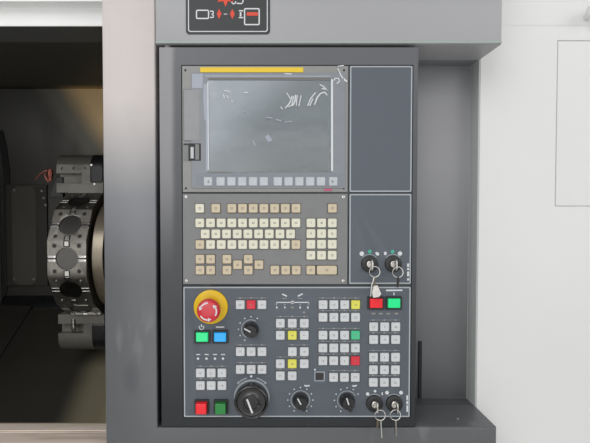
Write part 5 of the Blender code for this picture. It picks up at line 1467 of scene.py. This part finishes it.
def make_buttons():
    """Six push-buttons with black bezels and coloured lenses."""
    lenses = (("green_button", "lamp_green", "green_plastic"), ("blue_button", "lamp_blue", "blue_plastic"),
              ("stop_button", "lamp_red", "red_plastic"), ("start_button", "deep_green", "green_plastic"),
              ("reset_button", "lamp_red", "red_plastic"), ("ready_button", "lamp_green", "green_plastic"))
    for node, finish, slot in lenses:
        refined(node, finish, f"{node}_body", 0.0007, 3)
        low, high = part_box(node)
        loops = frame_loops(low.x - bezel_reach, low.z - bezel_reach, high.x + bezel_reach,
                            high.z + bezel_reach, bezel_width, 0.0012, 0.0006)
        bezel = band(*loops, face_y - bezel_rise, face_y + sink)
        piece(f"{node}_bezel", bezel, "black_moulding", "panel", 0.0005)


def make_key_switches():
    """Key switches: a black housing, a bright barrel, and a key whose ring carries more keys."""
    for index, node in enumerate(("panel_key_1", "panel_key_2", "panel_key_3", "panel_key_4")):
        x, z, _, front = control(node)
        body = f"{node}_body"
        housing = turned([(0.0, 0.0068), (0.0044, 0.0068), (0.0050, 0.0074), (0.0050, 0.0130),
                          (0.0042, 0.0146), (0.0, 0.0150)], 48, ring=True)
        piece(f"{node}_housing", facing(housing, x, face_y, z), "black_moulding", "panel")
        barrel = turned([(-0.0030, 0), (-0.0030, 0.0064), (0.0064, 0.0064), (0.0074, 0.0058),
                         (0.0076, 0.0044), (0.0070, 0.0040), (0.0070, 0)], 40)
        bow_base = front - 0.0200
        outline = rounded(bow_base + 0.0050, -0.0098, front, 0.0098, 0.0062, 8)
        blade = prism(outline, -0.0011, 0.0011, axis=1)
        stem = box_form((0.0060, -0.0011, -0.0040), (bow_base + 0.0060, 0.0011, 0.0040))
        key = together([barrel, blade, stem])
        whole = piece(f"{node}_key", facing(key, x, face_y, z), "bright_steel", body, 0.0003)
        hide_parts(node)
        ring_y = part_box(node)[0].y + 0.0035
        ring_x, ring_z = seen(key_rings_px[index], ring_y)
        turns = [math.tau * k / 36 for k in range(36)]
        loop = [(ring_x + ring_radius * math.cos(a), ring_y + ring_wave * math.sin(2 * a),
                 ring_z + ring_radius * math.sin(a)) for a in turns]
        piece(f"{node}_ring", tube_form(loop, 0.0007, 10, closed=True), "bright_steel", "panel")
    for name, finish, width, half, spots in spare_keys_px:
        outline = [seen(spot, ring_y) for spot in spots]
        if width:
            outline = stroke(outline, width * pixel(ring_y))
        piece(name, prism(outline, ring_y - half, ring_y + half), finish, "panel", 0.0003)


ring_radius = 0.0090
ring_wave = 0.0010
key_rings_px = ((374.6, 271.8), (397.8, 272.2), (380, 415.2), (395.2, 415))
spare_keys_px = (
    ("spare_key_strap", "brass", 1.7, 0.0006, ((374.6, 276.4), (374, 281), (375.4, 286.6))),
    ("spare_key_bow", "bright_steel", 0, 0.0010,
     ((373.7, 285.6), (377.5, 285.3), (381.2, 293.8), (379.2, 296.9), (373.2, 297.8), (371.8, 292.6))),
    ("spare_key_blade", "bright_steel", 1, 0.0020, ((374, 277), (371.4, 286), (370.4, 296.4))),
    ("second_spare_key", "oxide_steel", 1.3, 0.0040, ((397.9, 276.6), (398.4, 280.6), (397.2, 287.2))),
    ("third_spare_key", "bright_steel", 1.1, 0.0040, ((380.4, 420.2), (380.8, 428), (381.4, 437.2))),
    ("third_spare_tag", "brass", 1.8, 0.0006, ((377.8, 420), (377.3, 427.6))),
    ("fourth_spare_key", "turned_steel", 1.3, 0.0040, ((395.3, 420.2), (395.5, 428), (395.7, 435.4))))


def make_plates():
    """Blank plate, key plate and operator plate with their pale border lines."""
    refined("blank_plate", "slate_film", "panel", 0.0006)
    refined("key_plate", "slate_film", "panel", 0.0004)
    loops = [border(low, high, 0.0004, 0.0022) for low, high in (
        (blank_low, blank_high), (key_plate_low, key_plate_high), (operator_low, operator_high))]
    printed("plate_borders", [], "pale_print", loops=loops)


# Machine

cover_pieces = (
    ("upper_cover", "band_paint", "machine", 0.0014), ("right_cover", "pale_paint", "machine", 0.0010),
    ("left_cover", "pale_paint", "machine", 0.0020), ("lower_front_cover", "sill_paint", "machine", 0.0014),
    ("rear_cover", "pale_paint", "machine", 0.0008), ("hatch_door", "pale_paint", "hatch", 0.0008),
    ("electrical_cabinet", "pale_paint", "machine", 0.0015),
    ("cabinet_door", "pale_paint", "cabinet_flap", 0.0012), ("door_panel", "pale_paint", "door", 0.0010))


def make_covers():
    """Pale covers, doors and hatch, and the door's window."""
    for node, finish, body, bevel in cover_pieces:
        refined(node, finish, body, bevel)
    coat("door_window", "window_glass")


def make_console():
    """Column and ledge, header and niche, with a thin black strip on the niche's wall."""
    refined("front_frame", "console_paint", "machine", 0.0006)
    refined("header_cover", "header_paint", "machine", 0.0006)
    refined("niche_liner", "niche_paint", "machine", 0.0006)
    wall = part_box("niche_liner")[1].y - 0.003
    left, top = seen(strip_left_px, wall)
    right = seen(strip_right_px, wall)[0]
    # A thin black strip beside the panel's right side, on the niche's wall
    dark_strip = box_form((left, wall - 0.004, ledge_screw_place[2]), (right, wall + sink, top))
    piece("niche_duct", dark_strip, "rubber", "machine", 0.001)


strip_left_px = (418.2, 341)
strip_right_px = (421.6, 341)
channel_depth = 0.003
tread_height = 0.0012


def make_sill():
    """The rail along the sill: a bright lip, a channel and a stained tread."""
    low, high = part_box("lower_front_cover")
    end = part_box("front_frame")[0].x - 0.001
    top = high.z
    tread = box_form((low.x + 0.01, high.y - 0.0725, top - channel_depth - sink),
                     (end, high.y - 0.0335, top - channel_depth + tread_height))
    piece("sill_tread", tread, "sill_steel", "machine", 0.0005)
    lip = box_form((low.x + 0.01, high.y - 0.0325, top - sink), (end, high.y - 0.004, top + 0.0016))
    piece("sill_lip", lip, "sill_steel", "machine", 0.0006)


def make_chamber():
    """Liner, guard plate with its bolts, a black band of painted shadow at the opening's far side, and the
    way cover.
    """
    refined("chamber_liner", "chamber_steel", "machine", 0.0006)
    refined("way_cover", "chamber_steel", "machine", 0.0008)
    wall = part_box("chamber_liner")[1].y - 0.003
    front = wall - 0.012
    plate = prism(rounded(*seen_box(guard_plate_px, front), 0.03, 8), front - 0.0015, front + sink)
    piece("guard_plate", plate, "guard_steel", "machine", 0.0006)
    left, bottom, right, top = seen_box(guard_lip_px, front)
    strip = box_form((left, front - 0.006, bottom), (right, front + sink, top))
    piece("guard_lip", strip, "guard_steel", "machine", 0.001)
    # Black band of painted shadow at the opening's far side
    dark_band = stroke([seen(spot, wall) for spot in shadow_band_route_px], 0.026)
    piece("chamber_seal", prism(dark_band, wall - 0.006, wall + sink), "rubber", "machine", 0.002)
    left, bottom, right, top = seen_box(chamber_post_px, wall)
    post = box_form((left, wall - 0.010, bottom), (right, wall + sink, top))
    piece("chamber_post", post, "guard_steel", "machine", 0.003)
    points = [(x, front - 0.0015, z) for x, z in (seen(spot, front) for spot in guard_bolts_px)]
    repeated("guard_bolts", screw_tree(), points, "turned_steel", "machine", "steel", radius=0.005,
             height=0.0025, recess=0.0016)


guard_plate_px = (11.5, 186, 37, 285)
guard_lip_px = (17, 185.5, 47, 187)
chamber_post_px = (-8, 128, 2.4, 302)
shadow_band_route_px = ((0, 131), (4, 148), (7, 172), (7.5, 230), (7, 278), (4, 291), (0, 298))
guard_bolts_px = ((42, 191), (44, 198), (46, 205), (14.5, 190), (14.5, 279), (34, 279))


def at_station(station, along, across, out=0):
    """A place on a turret station, and the turn that faces what is fitted there outwards."""
    low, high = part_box("turret_disc")
    _, y, z = centre_of(low, high)
    flat = (high.z - low.z) / 2 + out
    angle = math.tau * station / station_count
    place = (low.x + disc_width / 2 + along, y + across * math.cos(angle) - flat * math.sin(angle),
             z + across * math.sin(angle) + flat * math.cos(angle))
    return place, (angle - math.pi / 2, 0, 0)


def fitted(name, tree, spots, out, finish, wide=(1, 1, 1), **inputs):
    """Like fittings on the turret: spots are a station, a place along it and a place across it."""
    places = [at_station(*spot, out) for spot in spots]
    repeated(name, tree, [place for place, _ in places], finish, "turret", "steel", [wide] * len(places),
             [turn for _, turn in places], **inputs)


# Round fittings of the stations: finish, rise from the facet, radius, height, recess, crown and hole
round_fittings = {
    "station_bolts": ("bright_steel", -0.0058, 0.0054, 0.0040, 0.0025, 0.88, 0.55),
    # Open holes and coolant holes are dark inside with painted shade
    "station_holes": ("dark_well", -sink, 0.0068, 0.0003, 0.0080, 0.97, 0.95),
    "coolant_holes": ("dark_well", -sink, 0.0030, 0.0003, 0.0020, 0.97, 0.9)}

# Square fittings of the stations: finish, rise from the facet, size, height, corner, chamfer and widths
square_fittings = {
    # The slots and the bar beds are dark with painted shade
    "station_slots": ("dark_well", -0.0002, 0.0190, 0.0005, 0.0002, 0.0001, (1, 1, 0.9)),
    "station_keys": ("bright_steel", -0.0020, 0.0125, 0.0032, 0.0008, 0.0006, (1, 1, 1.136)),
    "station_bar_beds": ("dark_well", -0.0024, 0.0230, 0.0026, 0.0004, 0.0002, (1, 1, 0.8)),
    "station_bars": ("bright_steel", -0.0024, 0.0115, 0.0034, 0.0006, 0.0005, (2, 1, 0.62)),
    "wedge_plates": ("disc_steel", -sink, 0.0420, 0.0032, 0.001, 0.0006, (1, 1, 1)),
    "wedge_strip": ("bright_steel", -sink, 0.0060, 0.0040, 0.0005, 0.0005, (15.5, 1, 1))}


def make_turret():
    """The disc with its plugs, keys, bars and bolts, and the polished flange behind it."""
    refined("turret_disc", "disc_steel", "turret", 0.0008)
    refined("turret_housing", "oxide_steel", "cross_body", 0.0012)
    free = [i for i in range(station_count) if i not in held_stations]
    sides = (-1, 1)
    corners = [(i, station_bolt_x * a, station_bolt_t * b) for i in free for a in sides for b in sides]
    spots = {
        "station_bolts": [spot for spot in corners if spot[0] not in open_stations],
        "station_holes": [spot for spot in corners if spot[0] in open_stations],
        "coolant_holes": [(i, 0.0373, 0.018) for i in free],
        "station_slots": [(i, 0, 0.0420 * a) for i in free for a in sides],
        "station_keys": [(i, 0, 0.0426 * a) for i in free for a in sides],
        "station_bar_beds": [(i, 0.0437 * a, 0) for i in free for a in sides],
        "station_bars": [(i, 0.0437 * a, 0.0054 * b) for i in free for a in sides for b in sides],
        "wedge_plates": [(5, 0.016, 0.020)],
        "wedge_strip": [(5, 0, -0.0455)]}
    fitted("station_plugs", plug_tree(), [(i, 0, 0) for i in free], -0.0030, "plug_steel", height=0.0025)
    for name, (finish, out, radius, height, recess, crown, hole) in round_fittings.items():
        fitted(name, screw_tree(), spots[name], out, finish, radius=radius, height=height, recess=recess,
               crown=crown, hole=hole)
    for name, (finish, out, size, height, corner, chamfer, wide) in square_fittings.items():
        fitted(name, key_tree(), spots[name], out, finish, wide, size=size, height=height, corner=corner,
               chamfer=chamfer, dish=0)
    low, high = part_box("turret_disc")
    _, y, z = centre_of(low, high)
    edge = flange_width - 0.0012
    rim = flange_radius + 0.0016
    sleeve = turned([(0, flange_radius - 0.004), (0, flange_radius + 0.0005), (0.0012, rim), (edge, rim),
                     (flange_width, flange_radius + 0.0005), (flange_width, flange_radius - 0.004)], 128,
                    ring=True)
    sleeve = moved(sleeve, Matrix.Translation((low.x + disc_width + disc_gap, y, z)))
    piece("turret_flange_sleeve", sleeve, "flange_steel", "cross_body")
    make_holders()


def make_holders():
    """The two boring-bar holders with their black collars, coolant fittings and copper pipe."""
    low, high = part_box("turret_disc")
    _, middle_y, middle_z = centre_of(low, high)
    flat = (high.z - low.z) / 2
    right = low.x + disc_width
    centre = Matrix.Translation((0, middle_y, middle_z))
    for node, turn in (("upper_tool_holder", 0), ("lower_tool_holder", math.pi)):
        refined(node, "holder_steel", "turret", 0.0015, 3)
        wide = holder_radius + 0.0016
        axis_up = flat + holder_rise
        outline = [(-wide, flat + 0.031), (wide, flat + 0.031)] + arc((0, axis_up), wide, 0, 180, 20)
        collar = prism(outline, collar_left, right + 0.0014, axis=0)
        collar = moved(collar, centre @ Matrix.Rotation(turn, 4, "X"))
        piece(f"{node}_collar", collar, "black_moulding", "turret", 0.006, 4)
    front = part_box("upper_tool_holder")[0].y
    web = middle_y - holder_web
    points = [(x, front - 0.0016, z) for x, z in (seen(spot, front - 0.0016) for spot in collar_screws_px)]
    repeated("collar_screws", screw_tree(), points, "bright_steel", "turret", "steel", radius=0.0038,
             height=0.0014, recess=0.0008)
    boss_x, boss_z = seen(holder_fitting_px, web)
    repeated("holder_fitting", screw_tree(), [(boss_x, web, boss_z)], "turned_steel", "turret", "steel",
             radius=0.0085, height=0.0070, recess=0.0010, crown=0.8)
    x0, z0 = seen(bracket_foot_px, web)
    x1, z1 = seen(bracket_top_px, web)
    outline = [(x0, z0), (x1, z0), (x1, z1), (x0 + 0.026, z1), (x0 + 0.010, z0 + 0.030)]
    bracket = prism(outline, web - 0.006, web + 0.012)
    piece("pipe_bracket", bracket, "black_moulding", "turret", 0.0012)
    x, z = seen(union_px, web)
    union = turned([(-0.019, 0), (-0.019, 0.0085), (-0.006, 0.0098), (0.006, 0.0098), (0.007, 0.0075),
                    (0.019, 0.0075), (0.019, 0)], 6)
    union = moved(union, Matrix.Translation((x, web, z)) @ Matrix.Rotation(math.pi / 2, 4, "Y"))
    piece("pipe_union", union, "copper", "turret", 0.0008)
    for name, route in (("coolant_pipe", coolant_pipe_px), ("coolant_drip", coolant_drip_px)):
        path = [(x, web - 0.004 * math.sin(math.pi * i / (len(route) - 1)) - 0.002, z)
                for i, (x, z) in enumerate(seen(spot, web) for spot in route)]
        piece(name, tube_form(path, 0.0019, 10), "copper", "turret")
    x, z = seen(nozzle_px, front)
    nozzle = turned([(-0.021, 0), (-0.021, 0.0045), (-0.012, 0.0078), (-0.004, 0.0078), (-0.002, 0.0062),
                     (0.004, 0.0062), (0.006, 0.0088), (0.016, 0.0088), (0.018, 0.0070), (0.021, 0.0070),
                     (0.021, 0)], 28)
    nozzle = moved(nozzle, Matrix.Translation((x, front + 0.002, z)) @ Matrix.Rotation(-math.pi / 2, 4, "Y"))
    piece("coolant_nozzle", nozzle, "bright_steel", "turret")


collar_screws_px = ((91.5, 165), (94.5, 184))
holder_fitting_px = (73.5, 172)
bracket_foot_px = (50, 197)
bracket_top_px = (63.5, 177)
union_px = (50, 175)
nozzle_px = (73.5, 325.5)
coolant_pipe_px = ((49.5, 172), (47, 170.5), (44, 172), (41, 174.2), (38, 177), (35.5, 180))
coolant_drip_px = ((44.2, 171.5), (45.4, 175), (47, 179), (48.8, 182))


def make_drives():
    """What runs behind the covers."""
    for node in ("saddle", "cross_slide"):
        refined(node, "chamber_steel", body_of[node], 0.003)
    for node in ("bed_casting", "headstock_casting", "tailstock", "coolant_tank", "spindle_motor",
                 "chuck_cylinder"):
        refined(node, "cast_paint", body_of[node], 0.003)
    for node in ("spindle", "chuck_body", "motor_pulley", "tailstock_quill", "z_screw", "front_bearing",
                 "rear_bearing", "chuck_jaw_1", "chuck_jaw_2", "chuck_jaw_3"):
        refined(node, "turned_steel", body_of[node], 0.0012)
    refined("drive_belt", "rubber", "machine", 0.0008)


def make_pictogram():
    """A plain sign plate on the header with generic outlines, a painted highlight on the header's edge, and a
    screw.
    """
    low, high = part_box("header_cover")
    y = low.y
    left, bottom = seen(sign_left_px, y)
    right = seen(sign_right_px, y)[0]
    top = bottom + sign_height
    face = y - sign_rise
    plate = prism(rounded(left, bottom, right, top, 0.006), face, y + sink)
    piece("sign_plate", plate, "black_print", "machine", 0.0003)
    loops = [frame_loops(left + 0.004, bottom + 0.004, right - 0.004, top - 0.004, 0.0015, 0.004, 0.003)]
    for box in sign_boxes_px:
        loops.append(frame_loops(*seen_box(box, y), 1.2 * pixel(y), 0.003, 0.001))
    printed("sign_outlines", [], "white_print", face, loops, "machine")
    traced("sign_lines", sign_lines_px, "white_print", face - ink / 2, "machine")
    reds = []
    for across, down in sign_blades_px:
        spots = ((across - 2.4, down), (across, down - 5.2), (across + 2.4, down), (across, down + 5.2))
        reds.append([seen(spot, y) for spot in spots])
    centre = seen(sign_star_px, y)
    radii = [(5, 2.4)[k % 2] * 1.9 * pixel(y) for k in range(12)]
    reds.append([at_angle(centre, radius, 90 + 30 * k) for k, radius in enumerate(radii)])
    printed("sign_marks", reds, "red_print", face - ink / 2, (), "machine")
    traced("sign_bar", sign_bar_px, "red_print", face, "machine")
    # Painted highlight along the header's lower edge
    edge = box_form((low.x + 0.001, y - 0.0006, low.z + 0.0010), (high.x - 0.001, y + sink, low.z + 0.0042))
    piece("header_edge", edge, "edge_shine", "machine", 0.0002)
    repeated("ledge_screw", screw_tree(), [ledge_screw_place], "turned_steel", "machine", "steel",
             turns=[(-math.pi / 2, 0, 0)], radius=0.0034, height=0.0012, recess=0.0008)


sign_height = 0.2
sign_rise = 0.0012
sign_left_px = (186, 34.5)
sign_right_px = (270, 34.5)
sign_star_px = (225.6, -2.5)
sign_bar_px = ((3.4, (246.8, 14), (258, 14)),)
ledge_screw_place = (0.916, -0.8415, 0.965)
sign_boxes_px = ((196, 10, 209.3, 19.4), (244, 8.4, 259.8, 25.5))
sign_lines_px = (
    (1.2, (210.2, 11.2), (213.2, 11.4), (213.4, 13.4), (211.8, 14.4), (213.4, 15.4), (213.2, 17.4),
     (210.2, 17.6)), (1.2, (238.9, 10.8), (243.2, 10.8)), (1.6, (240.6, 12.2), (240.6, 16.4)),
    (1.2, (238.9, 17.6), (243.2, 17.6)),
    (1.1, (231.3, -1), (231.6, 2.2), (233.2, 4), (235, 3.4), (235.8, 1.4)),
    (1.1, (236.6, 3.4), (241.8, 3.6), (243, 1.8), (243.2, -7)), (0.7, (223.8, 14.1), (227.2, 14.1)))
sign_blades_px = ((219.2, 14.3), (232.4, 14.3))


# Stage

def make_stage(light):
    """Pale floor, even sky, four area lamps and the photograph's camera."""
    floor = bmesh.new()
    bmesh.ops.create_grid(floor, x_segments=1, y_segments=1, size=9)
    mesh = bpy.data.meshes.new("floor")
    floor.to_mesh(mesh)
    floor.free()
    ground = linked("floor", mesh)
    made = Finish("floor_finish", (0.86, 0.86, 0.85), 0.6)
    made.tint(made.noise(1.2, 3).smooth(0.3, 0.8) * 0.3, (0.84, 0.84, 0.83))
    mesh.materials.append(made.done())
    world = bpy.data.worlds.new("studio")
    bpy.context.scene.world = world
    world.use_nodes = True
    sky = Nodes(world.node_tree)
    rays = sky.add("ShaderNodeLightPath")
    clear = sky.maths("MAXIMUM", Value(sky, rays.outputs["Is Camera Ray"]),
                      sky.maths("MAXIMUM", Value(sky, rays.outputs["Is Transmission Ray"]),
                                Value(sky, rays.outputs["Is Glossy Ray"])))
    level = sky.add("ShaderNodeMix", {"data_type": "FLOAT"}, {0: clear, 2: light.fill, 3: 0.9})
    ground_node = world.node_tree.nodes["Background"]
    ground_node.inputs["Color"].default_value = (1, 1, 1, 1)
    sky.feed(ground_node.inputs["Strength"], level.outputs[0])
    lamps = (("key_lamp", (-1.2, -4.2, 3.8), (0.4, -0.6, 1.3), 3.0, light.key),
             ("side_lamp", (3.6, -3.6, 2.4), (0.8, -0.5, 1.3), 2.6, light.side),
             ("low_lamp", (0.2, -4.6, 0.9), (0.4, -0.6, 1.2), 2.4, light.low),
             ("back_lamp", (1.6, 5.2, 3.6), (0.4, 0.9, 0.8), 3.0, light.back))
    for name, place, aim, size, power in lamps:
        lamp = bpy.data.lights.new(name, "AREA")
        lamp.energy = power
        lamp.size = size
        thing = linked(name, lamp)
        thing.location = place
        thing.rotation_euler = (Vector(aim) - Vector(place)).to_track_quat("-Z", "Y").to_euler()
    lens = bpy.data.cameras.new("camera")
    lens.sensor_width = sensor
    lens.lens = sensor * focal_px / photo_width
    lens.shift_x = (photo_width / 2 - axis_px) / photo_width
    lens.clip_start = 0.05
    eye = linked("camera", lens)
    eye.location = (camera_x, face_y - camera_back, camera_z)
    eye.rotation_euler = (math.pi / 2 - camera_pitch, 0, 0)
    bpy.context.scene.camera = eye
    bpy.context.scene.view_settings.view_transform = "Standard"


# Settings

def shade(name, default, description):
    return bpy.props.FloatVectorProperty(name=name, description=description, default=default,
                                         subtype="COLOR_GAMMA", size=3, min=0, max=1)


def length(name, default, description):
    return bpy.props.FloatProperty(name=name, description=description, default=default,
                                   subtype="DISTANCE", unit="LENGTH", min=0, precision=5)


def power(name, default, description):
    return bpy.props.FloatProperty(name=name, description=description, default=default, min=0, unit="POWER")


class LatheColours(bpy.types.PropertyGroup):
    """Colours of the paints, plates and keys."""
    pale_paint: shade("Pale paint", (0.935, 0.935, 0.930), "Powder coat of the covers and doors")
    # Console, header, niche and panel shades paint light and shade into the paint at their heights
    console_low: shade("Console paint, low", (0.380, 0.386, 0.397), "Console paint at the ledge")
    console_middle: shade("Console paint, middle", (0.51, 0.52, 0.535), "Console paint half way up")
    console_high: shade("Console paint, high", (0.82, 0.79, 0.78), "Console paint at the top of the column")
    header_paint: shade("Header paint", (0.675, 0.675, 0.685), "Header over the panel")
    niche_low: shade("Niche paint, low", (0.36, 0.37, 0.38), "Niche near the ledge and the header")
    niche_middle: shade("Niche paint, middle", (0.50, 0.505, 0.515), "Niche between its middle and its ends")
    niche_high: shade("Niche paint, high", (0.64, 0.64, 0.65), "Niche at its middle")
    panel_low: shade("Panel paint, low", (0.118, 0.132, 0.145), "Panel box at its foot")
    panel_middle: shade("Panel paint, middle", (0.275, 0.288, 0.303), "Panel box at its middle")
    panel_high: shade("Panel paint, high", (0.395, 0.40, 0.415), "Panel box at its top")
    slate_film: shade("Slate film", (0.352, 0.380, 0.415), "Printed film of the side and operator plates")
    unit_grey: shade("Unit grey", (0.51, 0.515, 0.515), "Moulding of the keyboard unit")
    display_grey: shade("Display grey", (0.585, 0.585, 0.58), "Moulding of the display unit")
    ivory_key: shade("Ivory keys", (0.94, 0.93, 0.85), "Letter and number keys")
    tan_key: shade("Tan keys", (0.86, 0.80, 0.69), "Function keys")
    white_key: shade("White keys", (0.86, 0.87, 0.88), "Keys of the operator plate")


class LatheSizes(bpy.types.PropertyGroup):
    """Sizes of the small forms on the panel."""
    key_chamfer: length("Key chamfer", 0.0010, "Width of the sloping edge round a key cap")
    key_dish: length("Key dish", 0.0003, "Depth of the hollow in a key cap")


class LatheLight(bpy.types.PropertyGroup):
    """Levels of the studio light."""
    fill: bpy.props.FloatProperty(name="Fill", description="Strength of the even light", default=0.30, min=0)
    key: power("Key lamp", 76, "Power of the lamp above")
    side: power("Side lamp", 30, "Power of the lamp at the right")
    low: power("Low lamp", 24, "Power of the lamp in front")
    back: power("Back lamp", 70, "Power of the lamp behind")


# Operators

class LATHE_OT_finishes(bpy.types.Operator):
    """Make the finishes from the colours"""
    bl_idname = "lathe.finishes"
    bl_label = "Finishes"

    def execute(self, context):
        make_finishes(context.scene.lathe_colours)
        return {"FINISHED"}


class LATHE_OT_panel_box(bpy.types.Operator):
    """The charcoal housing that carries the operating units"""
    bl_idname = "lathe.panel_box"
    bl_label = "Panel box"

    def execute(self, context):
        make_panel_box()
        return {"FINISHED"}


class LATHE_OT_display(bpy.types.Operator):
    """The display unit with its screen, soft keys and card slot"""
    bl_idname = "lathe.display"
    bl_label = "Display unit"

    def execute(self, context):
        make_display()
        return {"FINISHED"}


class LATHE_OT_keyboard(bpy.types.Operator):
    """The keyboard unit with its caps"""
    bl_idname = "lathe.keyboard"
    bl_label = "Keyboard unit"

    def execute(self, context):
        make_keyboard(context.scene.lathe_sizes)
        return {"FINISHED"}


class LATHE_OT_plates(bpy.types.Operator):
    """Blank plate and key plate with their border lines"""
    bl_idname = "lathe.plates"
    bl_label = "Side plates"

    def execute(self, context):
        make_plates()
        return {"FINISHED"}


class LATHE_OT_operator_keys(bpy.types.Operator):
    """The operator plate and its small keys"""
    bl_idname = "lathe.operator_keys"
    bl_label = "Operator keys"

    def execute(self, context):
        make_operator_keys(context.scene.lathe_sizes)
        return {"FINISHED"}


class LATHE_OT_stop_button(bpy.types.Operator):
    """The mushroom button on its yellow ring"""
    bl_idname = "lathe.stop_button"
    bl_label = "Stop button"

    def execute(self, context):
        make_stop()
        return {"FINISHED"}


class LATHE_OT_knobs(bpy.types.Operator):
    """Three knobs with their scales"""
    bl_idname = "lathe.knobs"
    bl_label = "Rotary knobs"

    def execute(self, context):
        make_knobs()
        return {"FINISHED"}


class LATHE_OT_handwheel(bpy.types.Operator):
    """The dished wheel that moves the axes by hand"""
    bl_idname = "lathe.handwheel"
    bl_label = "Handwheel"

    def execute(self, context):
        make_handwheel()
        return {"FINISHED"}


class LATHE_OT_buttons(bpy.types.Operator):
    """Six coloured push-buttons in their bezels"""
    bl_idname = "lathe.buttons"
    bl_label = "Push-buttons"

    def execute(self, context):
        make_buttons()
        return {"FINISHED"}


class LATHE_OT_key_switches(bpy.types.Operator):
    """Four key switches with keys on rings"""
    bl_idname = "lathe.key_switches"
    bl_label = "Key switches"

    def execute(self, context):
        make_key_switches()
        return {"FINISHED"}


class LATHE_OT_covers(bpy.types.Operator):
    """Pale sheet covers, doors and hatch"""
    bl_idname = "lathe.covers"
    bl_label = "Covers"

    def execute(self, context):
        make_covers()
        return {"FINISHED"}


class LATHE_OT_console(bpy.types.Operator):
    """Column, ledge, header and niche"""
    bl_idname = "lathe.console"
    bl_label = "Console"

    def execute(self, context):
        make_console()
        return {"FINISHED"}


class LATHE_OT_sill(bpy.types.Operator):
    """The steel rail under the door"""
    bl_idname = "lathe.sill"
    bl_label = "Sill"

    def execute(self, context):
        make_sill()
        return {"FINISHED"}


class LATHE_OT_chamber(bpy.types.Operator):
    """Chamber walls, guard and way cover"""
    bl_idname = "lathe.chamber"
    bl_label = "Work chamber"

    def execute(self, context):
        make_chamber()
        return {"FINISHED"}


class LATHE_OT_turret(bpy.types.Operator):
    """The twelve-station disc with its plugs, keys and bolts"""
    bl_idname = "lathe.turret"
    bl_label = "Turret"

    def execute(self, context):
        make_turret()
        return {"FINISHED"}


class LATHE_OT_drives(bpy.types.Operator):
    """Bed, headstock, slides, spindle line and tailstock"""
    bl_idname = "lathe.drives"
    bl_label = "Drives"

    def execute(self, context):
        make_drives()
        return {"FINISHED"}


class LATHE_OT_sign(bpy.types.Operator):
    """The sign plate on the header"""
    bl_idname = "lathe.sign"
    bl_label = "Sign plate"

    def execute(self, context):
        make_pictogram()
        return {"FINISHED"}


class LATHE_OT_stage(bpy.types.Operator):
    """Floor, lamps, sky and camera"""
    bl_idname = "lathe.stage"
    bl_label = "Stage"

    def execute(self, context):
        make_stage(context.scene.lathe_light)
        return {"FINISHED"}


steps = (LATHE_OT_finishes, LATHE_OT_panel_box, LATHE_OT_display, LATHE_OT_keyboard, LATHE_OT_plates,
         LATHE_OT_operator_keys, LATHE_OT_stop_button, LATHE_OT_knobs, LATHE_OT_handwheel, LATHE_OT_buttons,
         LATHE_OT_key_switches, LATHE_OT_covers, LATHE_OT_console, LATHE_OT_sill, LATHE_OT_chamber,
         LATHE_OT_turret, LATHE_OT_drives, LATHE_OT_sign, LATHE_OT_stage)

groups = (LatheColours, LatheSizes, LatheLight)


class LATHE_PT_panel(bpy.types.Panel):
    """Settings and steps of the lathe"""
    bl_idname = "LATHE_PT_panel"
    bl_label = "Turning lathe"
    bl_space_type = "VIEW_3D"
    bl_region_type = "UI"
    bl_category = "Lathe"

    def draw(self, context):
        scene = context.scene
        for settings in (scene.lathe_colours, scene.lathe_sizes, scene.lathe_light):
            box = self.layout.box()
            for name in settings.__annotations__:
                box.prop(settings, name)
        column = self.layout.column(align=True)
        for kind in steps:
            column.operator(kind.bl_idname)


def register():
    for kind in (*groups, *steps, LATHE_PT_panel):
        bpy.utils.register_class(kind)
    bpy.types.Scene.lathe_colours = bpy.props.PointerProperty(type=LatheColours)
    bpy.types.Scene.lathe_sizes = bpy.props.PointerProperty(type=LatheSizes)
    bpy.types.Scene.lathe_light = bpy.props.PointerProperty(type=LatheLight)


def unregister():
    del bpy.types.Scene.lathe_colours
    del bpy.types.Scene.lathe_sizes
    del bpy.types.Scene.lathe_light
    for kind in reversed((*groups, *steps, LATHE_PT_panel)):
        bpy.utils.unregister_class(kind)


def main():
    register()
    for kind in steps:
        getattr(bpy.ops.lathe, kind.bl_idname.split(".")[1])()


if __name__ == "__main__":
    main()
